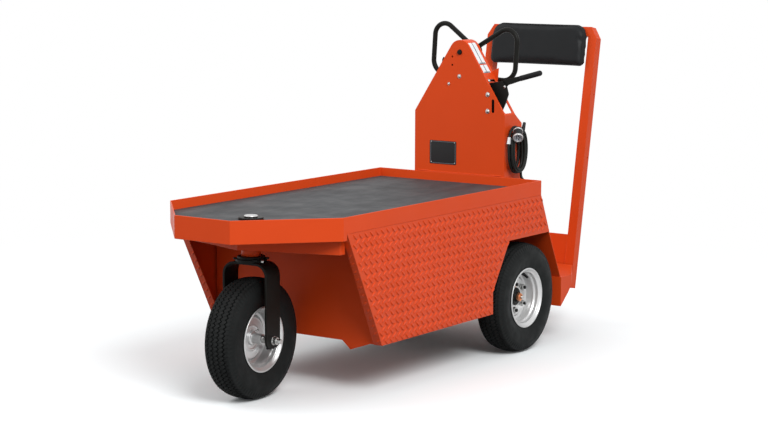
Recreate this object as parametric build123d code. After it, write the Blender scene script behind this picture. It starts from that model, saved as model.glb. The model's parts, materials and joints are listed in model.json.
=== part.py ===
from build123d import *
import os
from math import cos, pi, radians, sin, tan

# Stock chaser: a three-wheeled stand-up burden carrier. Millimetres.
# The front is -Y, the vehicle's left side is +X and the floor is z = 0.

# Main sizes. A reach is a distance ahead of or behind an axle.
wheelbase = 1193
rear_axle_y = 354.34
front_axle_y = rear_axle_y - wheelbase
half_width = 367
sheet_gauge = 3
seat_clearance = 0.3
running_clearance = 0.05

# Wheels: 4.80-8 tyres on 8 inch rims, all alike
tyre_radius = 205
tyre_width = 116
tread_width = 94
tread_crown = 7
rim_width = 97
rim_flange_radius = 113
bead_seat_radius = 101.6
rim_well_radius = 88
rim_well_width = 44
rim_well_slope = 8
rim_gauge = 3
rear_track = 618
stud_circle_radius = 57.15
stud_count = 5
stud_radius = 6.5
stud_reach = 14
hub_bore_radius = 26
disc_gauge = 4
disc_dish = 8
disc_shoulder = 14
drum_depth = 28
drum_radius = 67
hub_washer_radius = 33
hub_washer_gauge = 5
hub_nut_across = 30
hub_nut_height = 14
shaft_end_radius = 8
shaft_end_reach = 39

# Load deck
deck_top_z = 638
deck_floor_z = 600
deck_front_reach = 254
deck_rear_reach = 84
deck_front_y = front_axle_y - deck_front_reach
deck_rear_y = rear_axle_y + deck_rear_reach
corner_cut_x = 251
corner_cut_y = 271
front_lip_height = 78
side_lip_height = 56
lip_gauge = 4
mat_gauge = 5

# Side panels: nearly upright, their feet drawn in a little
panel_top_z = deck_top_z - side_lip_height
panel_foot_z = 179
panel_foot_inset = 6.5
panel_top_reach = 38
panel_foot_reach = 247
panel_front_top_y = front_axle_y + panel_top_reach
panel_front_foot_y = front_axle_y + panel_foot_reach
arch_foot_ahead = 240
arch_front_ahead = 244
arch_corner_ahead = 138
arch_rear_behind = 152
arch_front_z = 261
arch_top_z = 437
front_strip_top_width = 22
front_strip_foot_width = 35

# Under the deck
bulkhead_y = panel_front_foot_y + sheet_gauge + 0.5
bulkhead_side_gap = 2
flap_near_x = 193
flap_tip_x = 227
flap_far_x = 310
flap_drop = 29
underpan_ahead = 328
underpan_rear_y = rear_axle_y - underpan_ahead
rail_width = 40
rail_height = 60
rail_foot_z = 240
rail_wall = 4
rail_tyre_gap = 6
rail_centre_x = rear_track / 2 - tyre_width / 2 - rail_tyre_gap - rail_width / 2
axle_tube_radius = 34
gear_case_radius = 92
gear_case_width = 120
gear_case_rounding = 18
motor_radius = 88
motor_length = 230
motor_lift = 20
battery_height = 276
battery_gap = 6
battery_rail_gap = 21
battery_width = rail_centre_x - rail_width / 2 - battery_rail_gap - battery_gap / 2
battery_room_ahead = 40
battery_room_behind = 47
battery_front_y = bulkhead_y + battery_room_ahead
battery_rear_y = rear_axle_y - gear_case_radius - motor_length - battery_room_behind
battery_length = (battery_rear_y - battery_front_y - battery_gap) / 2

# Head beam: a swept box across the front, which carries the fork
beam_foot_z = 510
beam_apex_ahead = 73
beam_end_behind = 43
beam_rear_behind = 62
beam_side_gap = 26
beam_gauge = 4

# Operator's platform
slope_foot_reach = 249
slope_foot_y = rear_axle_y + slope_foot_reach
platform_z = 250
platform_front_y = slope_foot_y - 2 * sheet_gauge
platform_corner_reach = 324
platform_corner_y = rear_axle_y + platform_corner_reach
skirt_foot_z = 137
rear_skirt_foot_z = 211
skirt_knee_reach = 300
skirt_knee_z = 184
kick_panel_top_z = 366
kick_panel_foot_z = 215

# Rear frame: an inverted U of square tube that leans back
frame_lean = 10.1
post_size = 38
post_wall = 3
post_outer_x = 254
post_foot_z = 158
frame_top_z = 1184
post_reach = 534.5
post_front_y_at_platform = rear_axle_y + post_reach
post_lean_below = (platform_z - rear_skirt_foot_z) * tan(radians(frame_lean))
platform_rear_y = post_front_y_at_platform - post_lean_below - seat_clearance
rail_corner_drop = 44
rail_corner_run = 28
accessory_hole_radius = 3.5
accessory_hole_heights = (668, 915)

# Back pad
pad_width = 430
pad_height = 160
pad_depth = 30
pad_corner_radius = 32
pad_edge_radius = 12
pad_below_top = 152
pad_foot_z = frame_top_z - pad_below_top
pad_board_gauge = 9
pad_board_margin = 14

# Control tower
tower_front_y = deck_rear_y
tower_half_width = 203
shoulder_z = 872
apex_z = 1149
apex_radius = 46
tower_depth_top = 75
tower_depth_foot = 125
tower_back_knee_z = 835
steer_pivot_z = 1103
steer_hole_radius = 10
spare_hole_radius = 4
spare_hole_x = -34
spare_hole_drops = (18, 50)
lever_slot_width = 53
lever_slot_front_edge = 8
lever_slot_low_z = 878
lever_slot_high_z = 1003
lever_slot_rounding = 8
plate_slot_x = 150
plate_slot_low_z = 878
plate_slot_high_z = 930
plate_slot_width = 13

# Steering
steer_now = 2.3
bar_ratio = 1.5
bar_reach = 192
bar_plane_y = rear_axle_y + bar_reach
bar_tube_radius = 8
bar_half_span = 185.5
bar_rise = 33.8
bar_root_x = 14
bar_root_lift = 18
bar_low_z = 1003
bar_top_bend = 45
bar_low_bend = 52
bar_web_width = 34
bar_web_gauge = 6
bar_hub_radius = 27
steer_hub_radius = 20
steer_shaft_radius = 9
bush_plate_gauge = 5
bush_plate_reach = 60
bush_barrel_radius = 16
bush_setback = 12

# Fork
fork_half_gap = 82
fork_gauge = 8
fork_width = 78
fork_crown_z = 465
fork_corner_radius = 45
fork_below_axle = 25
stem_radius = 19
stem_plate_radius = 53
stem_plate_step = 6
stem_plate_gauge = 18
stem_cap_radius = 22
stem_cap_gauge = 5
head_tube_radius = 33
deck_ring_radius = 42
deck_ring_height = 8
axle_bolt_radius = 8
axle_bolt_reach = 122
axle_nut_across = 24
axle_nut_height = 12
axle_washer_radius = 15
axle_washer_gauge = 3
axle_spacer_radius = 13
front_hub_half = 46

# Parking brake
brake_reach = 122
brake_plane_y = rear_axle_y + brake_reach
brake_pivot = (170, 975)
brake_plate_gauge = 6
brake_boss_radius = 18
brake_block_width = 22
brake_block_height = 84
brake_block_place = (126, 915)
brake_lever_gauge = 5
brake_lever_gap = 5.5
lever_tip = (334, 1036)
lever_half_height = 9
grip_radius = 10.5
grip_length = 100
grip_rounding = 5
brake_pin_radius = 5

# Charger lead
cord_radius = 5
coil_reach = 136
coil_centre = (rear_axle_y + coil_reach, 742)
coil_height = 178
coil_width = 92
coil_band = 28
coil_thickness = 34
coil_side_gap = 2
hook_radius = 4
hook_bend = 8
hook_rise = 44
hook_sweep = 16
gland_radius = 11
gland_length = 22
gland_z = 575
lead_offset = 42
lead_out = 26
lead_rise = 40
plug_radius = 19
plug_neck_radius = 8
plug_length = 58
plug_ahead = 34
plug_lift = 93
plug_cord_run = (-2.9, 22, -29)


def flat_sheet(outline, plane, thickness):
    """A plate with this outline, grown from the plane along its normal."""
    return extrude(plane * make_face(Polyline(*outline, close=True)), thickness)


def side_plane(x, y=0, z=0):
    """Local axes run along +Y and +Z, and the normal points to +X."""
    return Plane(origin=(x, y, z), x_dir=(0, 1, 0), z_dir=(1, 0, 0))


def front_plane(y, x=0, z=0):
    """Local axes run along +X and +Z, and the normal points to -Y."""
    return Plane(origin=(x, y, z), x_dir=(1, 0, 0), z_dir=(0, -1, 0))


def bar_between(start, end, radius):
    """A round bar from one point to another."""
    run = Vector(*end) - Vector(*start)
    return extrude(Plane(origin=start, z_dir=run) * Circle(radius), run.length)


def hex_nut(centre, direction, across, height, bore):
    """A nut with its foot at centre, standing along direction."""
    seat = Plane(origin=centre, z_dir=direction)
    nut = extrude(seat * RegularPolygon(across / 2, 6, major_radius=False), height)
    if bore:
        nut -= extrude(seat * Circle(bore), height)
    return nut


# Wheels, drawn about the X axis at the origin

def tyre():
    side = tyre_width / 2
    edge = tread_width / 2
    foot = rim_width / 2 - rim_gauge - seat_clearance
    bead = bead_seat_radius + seat_clearance
    flange = rim_flange_radius + seat_clearance
    edge_radius = tyre_radius - tread_crown
    belly = (flange + edge_radius) / 2
    outline = Curve() + [
        Line((-foot, bead), (foot, bead)),
        Line((foot, bead), (foot, flange)),
        ThreePointArc((foot, flange), (side, belly), (edge, edge_radius)),
        ThreePointArc((edge, edge_radius), (0, tyre_radius), (-edge, edge_radius)),
        ThreePointArc((-edge, edge_radius), (-side, belly), (-foot, flange)),
        Line((-foot, flange), (-foot, bead)),
    ]
    return revolve(front_plane(0) * make_face(outline), Axis.X)


def rim_barrel():
    half = rim_width / 2
    well = rim_well_width / 2
    outer = [
        (half, rim_flange_radius),
        (half - rim_gauge, rim_flange_radius),
        (half - rim_gauge, bead_seat_radius),
        (well + rim_well_slope, bead_seat_radius),
        (well, rim_well_radius + rim_gauge),
    ]
    inner = [
        (well - rim_gauge / 3, rim_well_radius),
        (well + rim_well_slope - rim_gauge / 3, bead_seat_radius - rim_gauge),
        (half, bead_seat_radius - rim_gauge),
    ]
    mirrored_outer = [(-x, r) for x, r in reversed(outer)]
    mirrored_inner = [(-x, r) for x, r in reversed(inner)]
    outline = outer + mirrored_outer + mirrored_inner + inner
    return revolve(front_plane(0) * make_face(Polyline(*outline, close=True)), Axis.X)


def wheel_disc():
    """The pressed disc that joins the barrel to the hub, with stud holes."""
    dish_inner = stud_circle_radius + disc_shoulder
    outline = [
        (0, hub_bore_radius),
        (0, dish_inner),
        (-disc_dish, dish_inner + disc_dish),
        (-disc_dish, rim_well_radius),
        (-disc_dish - disc_gauge, rim_well_radius),
        (-disc_dish - disc_gauge, dish_inner + disc_dish - disc_gauge / 4),
        (-disc_gauge, dish_inner - disc_gauge / 4),
        (-disc_gauge, hub_bore_radius),
    ]
    return revolve(front_plane(0) * make_face(Polyline(*outline, close=True)), Axis.X)


def stud_places():
    places = []
    for index in range(stud_count):
        angle = 36 + index * 360 / stud_count
        places.append((stud_circle_radius * cos(radians(angle)), stud_circle_radius * sin(radians(angle))))
    return places


def rear_rim():
    rim = rim_barrel() + wheel_disc()
    for y, z in stud_places():
        rim -= extrude(side_plane(-disc_gauge, y, z) * Circle(stud_radius + 0.5), disc_gauge)
    return rim


def rear_hub():
    """Drum, studs and shaft end of one rear wheel, with the nut and washer that hold its disc."""
    seat_x = -disc_gauge - seat_clearance
    hub = extrude(side_plane(seat_x) * Circle(drum_radius), -drum_depth)
    hub += extrude(side_plane(seat_x) * Circle(hub_bore_radius - seat_clearance), -seat_x)
    hub += extrude(side_plane(0) * Circle(shaft_end_radius), shaft_end_reach)
    for y, z in stud_places():
        hub += extrude(side_plane(seat_x, y, z) * Circle(stud_radius), disc_gauge + stud_reach)
    nut = extrude(side_plane(seat_clearance) * Circle(hub_washer_radius), hub_washer_gauge)
    nut += hex_nut((seat_clearance + hub_washer_gauge, 0, 0), (1, 0, 0), hub_nut_across, hub_nut_height, 0)
    nut -= extrude(side_plane(0) * Circle(shaft_end_radius + seat_clearance), shaft_end_reach)
    return Compound([hub, nut])


def front_rim():
    rim = rim_barrel() + wheel_disc()
    inner_end = side_plane(-front_hub_half)
    rim += extrude(inner_end * Circle(hub_bore_radius + 0.01), 2 * front_hub_half)
    return rim - extrude(inner_end * Circle(axle_bolt_radius + running_clearance), 2 * front_hub_half)


# Fork and its stem, drawn straight ahead at the front wheel's place

def arch_face(half, top, foot, radius):
    """A plain arch: upright sides from foot, rounded top corners."""
    outline = make_face(Polyline((-half, foot), (half, foot), (half, top), (-half, top), close=True))
    return fillet(outline.vertices().group_by(Axis.Y)[-1], radius)


def fork_strap():
    outer = fork_half_gap + fork_gauge
    foot_z = tyre_radius - fork_below_axle
    band = arch_face(outer, fork_crown_z, foot_z, fork_corner_radius)
    band -= arch_face(fork_half_gap, fork_crown_z - fork_gauge, foot_z - 1, fork_corner_radius - fork_gauge)
    strap = extrude(front_plane(front_axle_y + fork_width / 2) * band, fork_width)
    low_edges = strap.edges().filter_by(Axis.X).group_by(Axis.Z)[0]
    strap = fillet(low_edges, fork_below_axle)
    across = Pos(0, front_axle_y, tyre_radius) * Rot(0, 90, 0)
    bore = across * Cylinder(axle_bolt_radius + seat_clearance, 3 * outer)
    stem_seat = Pos(0, front_axle_y, fork_crown_z) * Cylinder(stem_radius + seat_clearance, 3 * fork_gauge)
    return strap - bore - stem_seat


def fork_stem():
    foot = fork_crown_z - fork_gauge
    cap_foot = deck_floor_z + mat_gauge + deck_ring_height + seat_clearance
    stem = Pos(0, front_axle_y, foot) * extrude(Circle(stem_radius), cap_foot - foot)
    stem += Pos(0, front_axle_y, cap_foot) * extrude(Circle(stem_cap_radius), stem_cap_gauge)
    plate = Pos(0, front_axle_y, fork_crown_z + seat_clearance)
    stem += plate * extrude(Circle(stem_plate_radius), stem_plate_gauge / 2)
    stem += plate * extrude(Circle(stem_plate_radius - stem_plate_step), stem_plate_gauge)
    return stem


def front_axle():
    far = (axle_bolt_reach, front_axle_y, tyre_radius)
    near = (-axle_bolt_reach, front_axle_y, tyre_radius)
    bolt = bar_between(near, far, axle_bolt_radius)
    washer_x = fork_half_gap + fork_gauge + seat_clearance
    spacer_x = fork_half_gap - seat_clearance
    for side in (-1, 1):
        outward = (side, 0, 0)
        inward = (-side, 0, 0)
        seat = (side * washer_x, front_axle_y, tyre_radius)
        bolt += extrude(Plane(origin=seat, z_dir=outward) * Circle(axle_washer_radius), axle_washer_gauge)
        nut_seat = (side * (washer_x + axle_washer_gauge), front_axle_y, tyre_radius)
        bolt += hex_nut(nut_seat, outward, axle_nut_across, axle_nut_height, 0)
        inner = (side * spacer_x, front_axle_y, tyre_radius)
        spacer_length = spacer_x - front_hub_half - seat_clearance
        bolt += extrude(Plane(origin=inner, z_dir=inward) * Circle(axle_spacer_radius), spacer_length)
    return bolt


# Load deck

def deck_outline(inset):
    """The deck seen from above, drawn in by inset all round."""
    front_half = half_width - corner_cut_x
    full = Polyline(
        (-half_width, deck_rear_y), (-half_width, deck_front_y + corner_cut_y), (-front_half, deck_front_y),
        (front_half, deck_front_y), (half_width, deck_front_y + corner_cut_y), (half_width, deck_rear_y),
        close=True,
    )
    face = make_face(full)
    if inset:
        face = offset(face, -inset, kind=Kind.INTERSECTION)
    return face


def deck_tray():
    foot = deck_top_z - front_lip_height
    tray = extrude(Pos(0, 0, foot) * deck_outline(0), front_lip_height)
    tray -= extrude(Pos(0, 0, deck_floor_z) * deck_outline(lip_gauge), deck_top_z - deck_floor_z)
    tray -= extrude(Pos(0, 0, foot) * deck_outline(lip_gauge), deck_floor_z - lip_gauge - foot)
    # Along the panels the lip is shallower
    length = deck_rear_y - panel_front_top_y + lip_gauge
    rear_part = Pos(0, panel_front_top_y + length / 2, (foot + panel_top_z) / 2)
    tray -= rear_part * Box(3 * half_width, length, panel_top_z - foot)
    head_tube_hole = Cylinder(head_tube_radius + seat_clearance, 3 * lip_gauge)
    return tray - Pos(0, front_axle_y, deck_floor_z) * head_tube_hole


def deck_mat():
    mat = extrude(Pos(0, 0, deck_floor_z) * deck_outline(lip_gauge + seat_clearance), mat_gauge)
    ring_hole = Cylinder(deck_ring_radius + seat_clearance, 3 * mat_gauge)
    return mat - Pos(0, front_axle_y, deck_floor_z) * ring_hole


def deck_ring():
    height = mat_gauge + deck_ring_height
    ring = extrude(Pos(0, front_axle_y, deck_floor_z) * Circle(deck_ring_radius), height)
    return ring - Pos(0, front_axle_y, deck_floor_z) * Cylinder(stem_radius + running_clearance, 3 * height)


def head_beam():
    """Swept box beam, open to the deck floor above it, with the fork's head tube through it."""
    top = deck_floor_z - lip_gauge - seat_clearance
    half = half_width - beam_side_gap
    apex_y = front_axle_y - beam_apex_ahead
    end_y = apex_y + (beam_apex_ahead + beam_end_behind) * half / half_width
    rear_y = front_axle_y + beam_rear_behind
    plan = make_face(
        Polyline((-half, end_y), (0, apex_y), (half, end_y), (half, rear_y), (-half, rear_y), close=True)
    )
    beam = extrude(Pos(0, 0, beam_foot_z) * plan, top - beam_foot_z)
    inner_plan = offset(plan, -beam_gauge, kind=Kind.INTERSECTION)
    beam -= extrude(Pos(0, 0, beam_foot_z + beam_gauge) * inner_plan, top)
    tube_foot = fork_crown_z + stem_plate_gauge + 2 * seat_clearance
    beam += Pos(0, front_axle_y, tube_foot) * extrude(Circle(head_tube_radius), deck_floor_z - tube_foot)
    stem_bore = Cylinder(stem_radius + running_clearance, 2 * tyre_radius)
    return beam - Pos(0, front_axle_y, beam_foot_z) * stem_bore


# Sides and bulkheads

def panel_plane():
    drop = panel_top_z - panel_foot_z
    return Plane(origin=(half_width, 0, panel_top_z), x_dir=(0, 1, 0), z_dir=(drop, 0, -panel_foot_inset))


def side_panel():
    top = panel_top_z
    # columns: y, z
    outline = [
        (panel_front_top_y, top),
        (panel_front_foot_y, panel_foot_z),
        (rear_axle_y - arch_foot_ahead, panel_foot_z),
        (rear_axle_y - arch_front_ahead, arch_front_z),
        (rear_axle_y - arch_corner_ahead, arch_top_z),
        (rear_axle_y + arch_rear_behind, arch_top_z),
        (deck_rear_y, top),
    ]
    local = [(y, z - top) for y, z in outline]
    panel = flat_sheet(local, panel_plane(), -sheet_gauge)
    top_front = Vector(half_width, panel_front_top_y, top)
    foot_front = Vector(half_width - panel_foot_inset, panel_front_foot_y, panel_foot_z)
    strip_run = foot_front - top_front
    strip_plane = Plane(origin=top_front, x_dir=(-1, 0, 0), z_dir=Vector(1, 0, 0).cross(strip_run))
    down = strip_run.dot(strip_plane.y_dir)
    across = strip_run.dot(strip_plane.x_dir)
    strip = [(0, 0), (front_strip_top_width, 0), (across + front_strip_foot_width, down), (across, down)]
    panel += flat_sheet(strip, strip_plane, sheet_gauge)
    above = Pos(half_width, 0, top + side_lip_height) * Box(half_width, 10 * half_width, 2 * side_lip_height)
    return panel - above


def front_bulkhead():
    """Upright sheet between the panels, with a flap below it at each side."""
    half = half_width - panel_foot_inset - sheet_gauge - bulkhead_side_gap
    top = deck_floor_z - lip_gauge - seat_clearance
    right = [
        (half, top), (half, panel_foot_z), (flap_far_x, panel_foot_z), (flap_tip_x, panel_foot_z - flap_drop),
        (flap_near_x, panel_foot_z),
    ]
    left = [(-x, z) for x, z in reversed(right)]
    return flat_sheet(right + left, front_plane(bulkhead_y + sheet_gauge), sheet_gauge)


def underpan():
    inner = half_width - panel_foot_inset - sheet_gauge - bulkhead_side_gap
    length = underpan_rear_y - bulkhead_y - sheet_gauge
    place = Pos(0, bulkhead_y + sheet_gauge + length / 2, panel_foot_z + sheet_gauge / 2)
    return place * Box(2 * inner, length, sheet_gauge)


def above_slope(clearance):
    """Everything above and behind the sloped bulkhead's upper face, less a clearance."""
    rise = panel_top_z - platform_z
    run = slope_foot_y - deck_rear_y
    share = clearance / (rise ** 2 + run ** 2) ** 0.5
    y = deck_rear_y + rise * share
    z = panel_top_z + run * share
    outline = [
        (y - 4 * run, z + 4 * rise), (y + 2 * run, z - 2 * rise), (y + 9 * run, z - 2 * rise),
        (y + 9 * run, z + 4 * rise),
    ]
    return flat_sheet(outline, side_plane(-1.1 * half_width), 2.2 * half_width)


def rear_bulkhead():
    half = half_width - 2 * sheet_gauge
    run = Vector(0, slope_foot_y - deck_rear_y, platform_z - panel_top_z)
    plane = Plane(origin=(0, deck_rear_y, panel_top_z), x_dir=(1, 0, 0), z_dir=Vector(1, 0, 0).cross(run))
    reach = run.dot(plane.y_dir)
    outline = [(-half, 0), (half, 0), (half, reach), (-half, reach)]
    sheet = flat_sheet(outline, plane, -sheet_gauge)
    below = Box(3 * half, slope_foot_reach, platform_z)
    return sheet - Pos(0, slope_foot_y, platform_z / 2 + seat_clearance) * below


def frame_rail():
    length = platform_front_y - bulkhead_y - sheet_gauge - 2 * seat_clearance
    start = bulkhead_y + sheet_gauge + seat_clearance
    place = Pos(rail_centre_x, start + length / 2, rail_foot_z + rail_height / 2)
    rail = place * Box(rail_width, length, rail_height)
    rail -= place * Box(rail_width - 2 * rail_wall, length, rail_height - 2 * rail_wall)
    return rail - above_slope(-sheet_gauge - seat_clearance)


def battery_pack():
    foot = panel_foot_z + sheet_gauge + seat_clearance
    blocks = []
    for column in (-0.5, 0.5):
        for row in (0.5, 1.5):
            x = column * (battery_width + battery_gap)
            y = battery_front_y + row * battery_length + (row - 0.5) * battery_gap
            place = Pos(x, y, foot + battery_height / 2)
            blocks.append(place * Box(battery_width, battery_length, battery_height))
    return Compound(blocks)


def axle_housing():
    half = rear_track / 2 - disc_gauge - drum_depth - 2 * seat_clearance
    tube = bar_between((-half, rear_axle_y, tyre_radius), (half, rear_axle_y, tyre_radius), axle_tube_radius)
    case = Pos(0, rear_axle_y, tyre_radius) * Rot(0, 90, 0) * Cylinder(gear_case_radius, gear_case_width)
    housing = tube + fillet(case.edges(), gear_case_rounding)
    for side in (-1, 1):
        pad_height = rail_foot_z - tyre_radius - seat_clearance
        pad = Pos(side * rail_centre_x, rear_axle_y, tyre_radius + pad_height / 2)
        housing += pad * Box(1.25 * rail_width, 1.5 * rail_width, pad_height)
    return housing


def drive_motor():
    start = rear_axle_y - gear_case_radius - seat_clearance
    height = tyre_radius + motor_lift
    motor = bar_between((0, start, height), (0, start - motor_length, height), motor_radius)
    return chamfer(motor.edges(), 2 * sheet_gauge)


# Operator's platform and rear frame

def platform():
    floor = [
        (-half_width, platform_front_y), (half_width, platform_front_y), (half_width, platform_corner_y),
        (post_outer_x, platform_rear_y), (-post_outer_x, platform_rear_y), (-half_width, platform_corner_y),
    ]
    plan = make_face(Polyline(*floor, close=True))
    pan = extrude(Pos(0, 0, skirt_foot_z) * plan, platform_z - skirt_foot_z)
    inner = offset(plan, -sheet_gauge, kind=Kind.INTERSECTION)
    pan -= extrude(Pos(0, 0, skirt_foot_z) * inner, platform_z - sheet_gauge - skirt_foot_z)
    # The side skirts are cut up towards the rear
    behind = platform_rear_y + post_size
    low = skirt_foot_z - sheet_gauge
    below = [
        (platform_front_y, skirt_foot_z), (rear_axle_y + skirt_knee_reach, skirt_knee_z),
        (platform_corner_y, rear_skirt_foot_z), (behind, rear_skirt_foot_z), (behind, low),
        (platform_front_y, low),
    ]
    cutter = flat_sheet(below, side_plane(-1.1 * half_width), 2.2 * half_width)
    return pan - cutter


def frame_plane():
    """Lies in the front face of the posts. Local axes run along +X and up the lean."""
    return Plane(
        origin=(0, post_front_y_at_platform, platform_z), x_dir=(1, 0, 0),
        z_dir=(0, -cos(radians(frame_lean)), sin(radians(frame_lean))),
    )


def along_frame(z):
    """How far up the leaning frame a height above the floor lies."""
    return (z - platform_z) / cos(radians(frame_lean))


def post():
    low = along_frame(post_foot_z)
    high = along_frame(frame_top_z)
    inner_x = post_outer_x - post_size
    outline = [
        (inner_x, low), (post_outer_x, low), (post_outer_x, high - rail_corner_drop),
        (post_outer_x - rail_corner_run, high), (post_outer_x - rail_corner_run, high - post_size),
        (inner_x, high - post_size),
    ]
    body = flat_sheet(outline, frame_plane(), -post_size)
    bore_top = high - rail_corner_drop - 2 * post_wall
    bore = [
        (inner_x + post_wall, low), (post_outer_x - post_wall, low), (post_outer_x - post_wall, bore_top),
        (inner_x + post_wall, bore_top),
    ]
    body -= flat_sheet(bore, frame_plane().offset(-post_wall), -(post_size - 2 * post_wall))
    for z in accessory_hole_heights:
        y = post_front_y_at_platform + (z - platform_z) * tan(radians(frame_lean)) + 0.75 * post_size
        body -= Pos(post_outer_x, y, z) * Rot(0, 90, 0) * Cylinder(accessory_hole_radius, 3 * post_wall)
    return body


def top_rail():
    high = along_frame(frame_top_z)
    reach = post_outer_x - rail_corner_run - running_clearance
    outline = [(-reach, high - post_size), (reach, high - post_size), (reach, high), (-reach, high)]
    rail = flat_sheet(outline, frame_plane(), -post_size)
    low = high - post_size + post_wall
    bore = [(-reach, low), (reach, low), (reach, high - post_wall), (-reach, high - post_wall)]
    return rail - flat_sheet(bore, frame_plane().offset(-post_wall), -(post_size - 2 * post_wall))


def pad_face(margin):
    low = along_frame(pad_foot_z) + margin
    high = low + pad_height - 2 * margin
    half = pad_width / 2 - margin
    return make_face(Polyline((-half, low), (half, low), (half, high), (-half, high), close=True))


def pad_board():
    board = extrude(frame_plane().offset(seat_clearance) * pad_face(pad_board_margin), pad_board_gauge)
    upright = board.edges().filter_by(lambda edge: abs(edge.length - pad_board_gauge) < seat_clearance)
    return fillet(upright, pad_corner_radius - pad_board_margin)


def back_pad():
    seat = frame_plane().offset(pad_board_gauge + 2 * seat_clearance)
    pad = extrude(seat * pad_face(0), pad_depth)
    upright = pad.edges().filter_by(lambda edge: abs(edge.length - pad_depth) < seat_clearance)
    pad = fillet(upright, pad_corner_radius)
    front = pad.faces().sort_by(Axis.Y)[0]
    return fillet(front.edges(), pad_edge_radius)


def kick_panel():
    half = post_outer_x - post_size - seat_clearance
    low = along_frame(kick_panel_foot_z)
    high = along_frame(kick_panel_top_z)
    outline = [(-half, low), (half, low), (half, high), (-half, high)]
    return flat_sheet(outline, frame_plane(), -sheet_gauge)


# Control tower

def shoulder_touch():
    """Where the straight shoulder meets the round top: x and z."""
    top = apex_z - apex_radius
    run_x = tower_half_width
    run_z = shoulder_z - top
    reach = (run_x ** 2 + run_z ** 2) ** 0.5
    share = apex_radius / reach
    rest = (1 - share ** 2) ** 0.5
    unit_x = run_x / reach
    unit_z = run_z / reach
    normal_x = unit_x * share - unit_z * rest
    normal_z = unit_z * share + unit_x * rest
    return apex_radius * normal_x, top + apex_radius * normal_z


def tower_face(inset, foot):
    touch_x, touch_z = shoulder_touch()
    edges = Curve() + [
        Line((-tower_half_width, foot), (tower_half_width, foot)),
        Line((tower_half_width, foot), (tower_half_width, shoulder_z)),
        Line((tower_half_width, shoulder_z), (touch_x, touch_z)),
        ThreePointArc((touch_x, touch_z), (0, apex_z), (-touch_x, touch_z)),
        Line((-touch_x, touch_z), (-tower_half_width, shoulder_z)),
        Line((-tower_half_width, shoulder_z), (-tower_half_width, foot)),
    ]
    face = make_face(edges)
    return offset(face, -inset, kind=Kind.INTERSECTION) if inset else face


def tower_shell():
    foot = platform_z
    back_y = tower_front_y + tower_depth_foot
    shell = extrude(front_plane(back_y) * tower_face(0, foot), tower_depth_foot)
    inner = tower_face(sheet_gauge, foot - 2 * sheet_gauge)
    shell -= extrude(front_plane(back_y) * inner, tower_depth_foot - sheet_gauge)
    # The sides are cut back above the knee
    back_top_y = tower_front_y + tower_depth_top
    over = apex_z + sheet_gauge
    behind = back_y + sheet_gauge
    cut_back = [
        (back_y, tower_back_knee_z), (back_top_y, shoulder_z), (back_top_y, over), (behind, over),
        (behind, tower_back_knee_z),
    ]
    shell -= flat_sheet(cut_back, side_plane(-1.1 * tower_half_width), 2.2 * tower_half_width)
    shell &= above_slope(seat_clearance)
    face = front_plane(tower_front_y + 2 * sheet_gauge)
    steer_hole = Circle(steer_hole_radius + seat_clearance)
    shell -= extrude(face * Pos(0, steer_pivot_z) * steer_hole, 3 * sheet_gauge)
    for drop in spare_hole_drops:
        spare_hole = face * Pos(spare_hole_x, steer_pivot_z - drop) * Circle(spare_hole_radius)
        shell -= extrude(spare_hole, 3 * sheet_gauge)
    slot_height = plate_slot_high_z - plate_slot_low_z
    slot_place = face * Pos(plate_slot_x, (plate_slot_low_z + plate_slot_high_z) / 2) * Rot(0, 0, 90)
    shell -= extrude(slot_place * SlotOverall(slot_height, plate_slot_width), 3 * sheet_gauge)
    return shell - lever_opening()


def lever_opening():
    """The opening in the left shoulder that the parking brake stands in."""
    touch_x, touch_z = shoulder_touch()
    middle_z = (lever_slot_low_z + lever_slot_high_z) / 2
    share = (middle_z - shoulder_z) / (touch_z - shoulder_z)
    middle_x = tower_half_width + share * (touch_x - tower_half_width)
    middle_y = tower_front_y + lever_slot_front_edge + lever_slot_width / 2
    run = Vector(touch_x - tower_half_width, 0, touch_z - shoulder_z).normalized()
    outward = Vector(run.Z, 0, -run.X)
    length = (lever_slot_high_z - lever_slot_low_z) / run.Z
    centre = Vector(middle_x, middle_y, middle_z)
    plane = Plane(origin=centre - outward * 3 * sheet_gauge, x_dir=run, z_dir=outward)
    return extrude(plane * RectangleRounded(length, lever_slot_width, lever_slot_rounding), 6 * sheet_gauge)


def steer_bush():
    """Bearing plate across the tower's top, with a barrel that reaches to the front plate."""
    back = tower_front_y + tower_depth_top - bush_setback
    start = tower_front_y + sheet_gauge + seat_clearance
    face = tower_face(sheet_gauge + seat_clearance, shoulder_z - bush_plate_reach)
    plate = extrude(front_plane(back) * face, bush_plate_gauge)
    keep = Pos(0, back, steer_pivot_z) * Box(2 * tower_half_width, 4 * bush_plate_gauge, 2 * bush_plate_reach)
    barrel = extrude(front_plane(back, 0, steer_pivot_z) * Circle(bush_barrel_radius), back - start)
    bore_start = front_plane(back + bush_plate_gauge, 0, steer_pivot_z)
    bore = extrude(bore_start * Circle(steer_shaft_radius + running_clearance), 2 * tower_depth_top)
    return (plate & keep) + barrel - bore


def steer_shaft():
    front_end = (0, tower_front_y - 2 * sheet_gauge, steer_pivot_z)
    rear_end = (0, bar_plane_y + 1.5 * bar_tube_radius, steer_pivot_z)
    shaft = bar_between(front_end, rear_end, steer_shaft_radius)
    hub = Cylinder(steer_hub_radius, steer_hub_radius)
    return shaft + Pos(0, bar_plane_y, steer_pivot_z) * Rot(90, 0, 0) * hub


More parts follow.
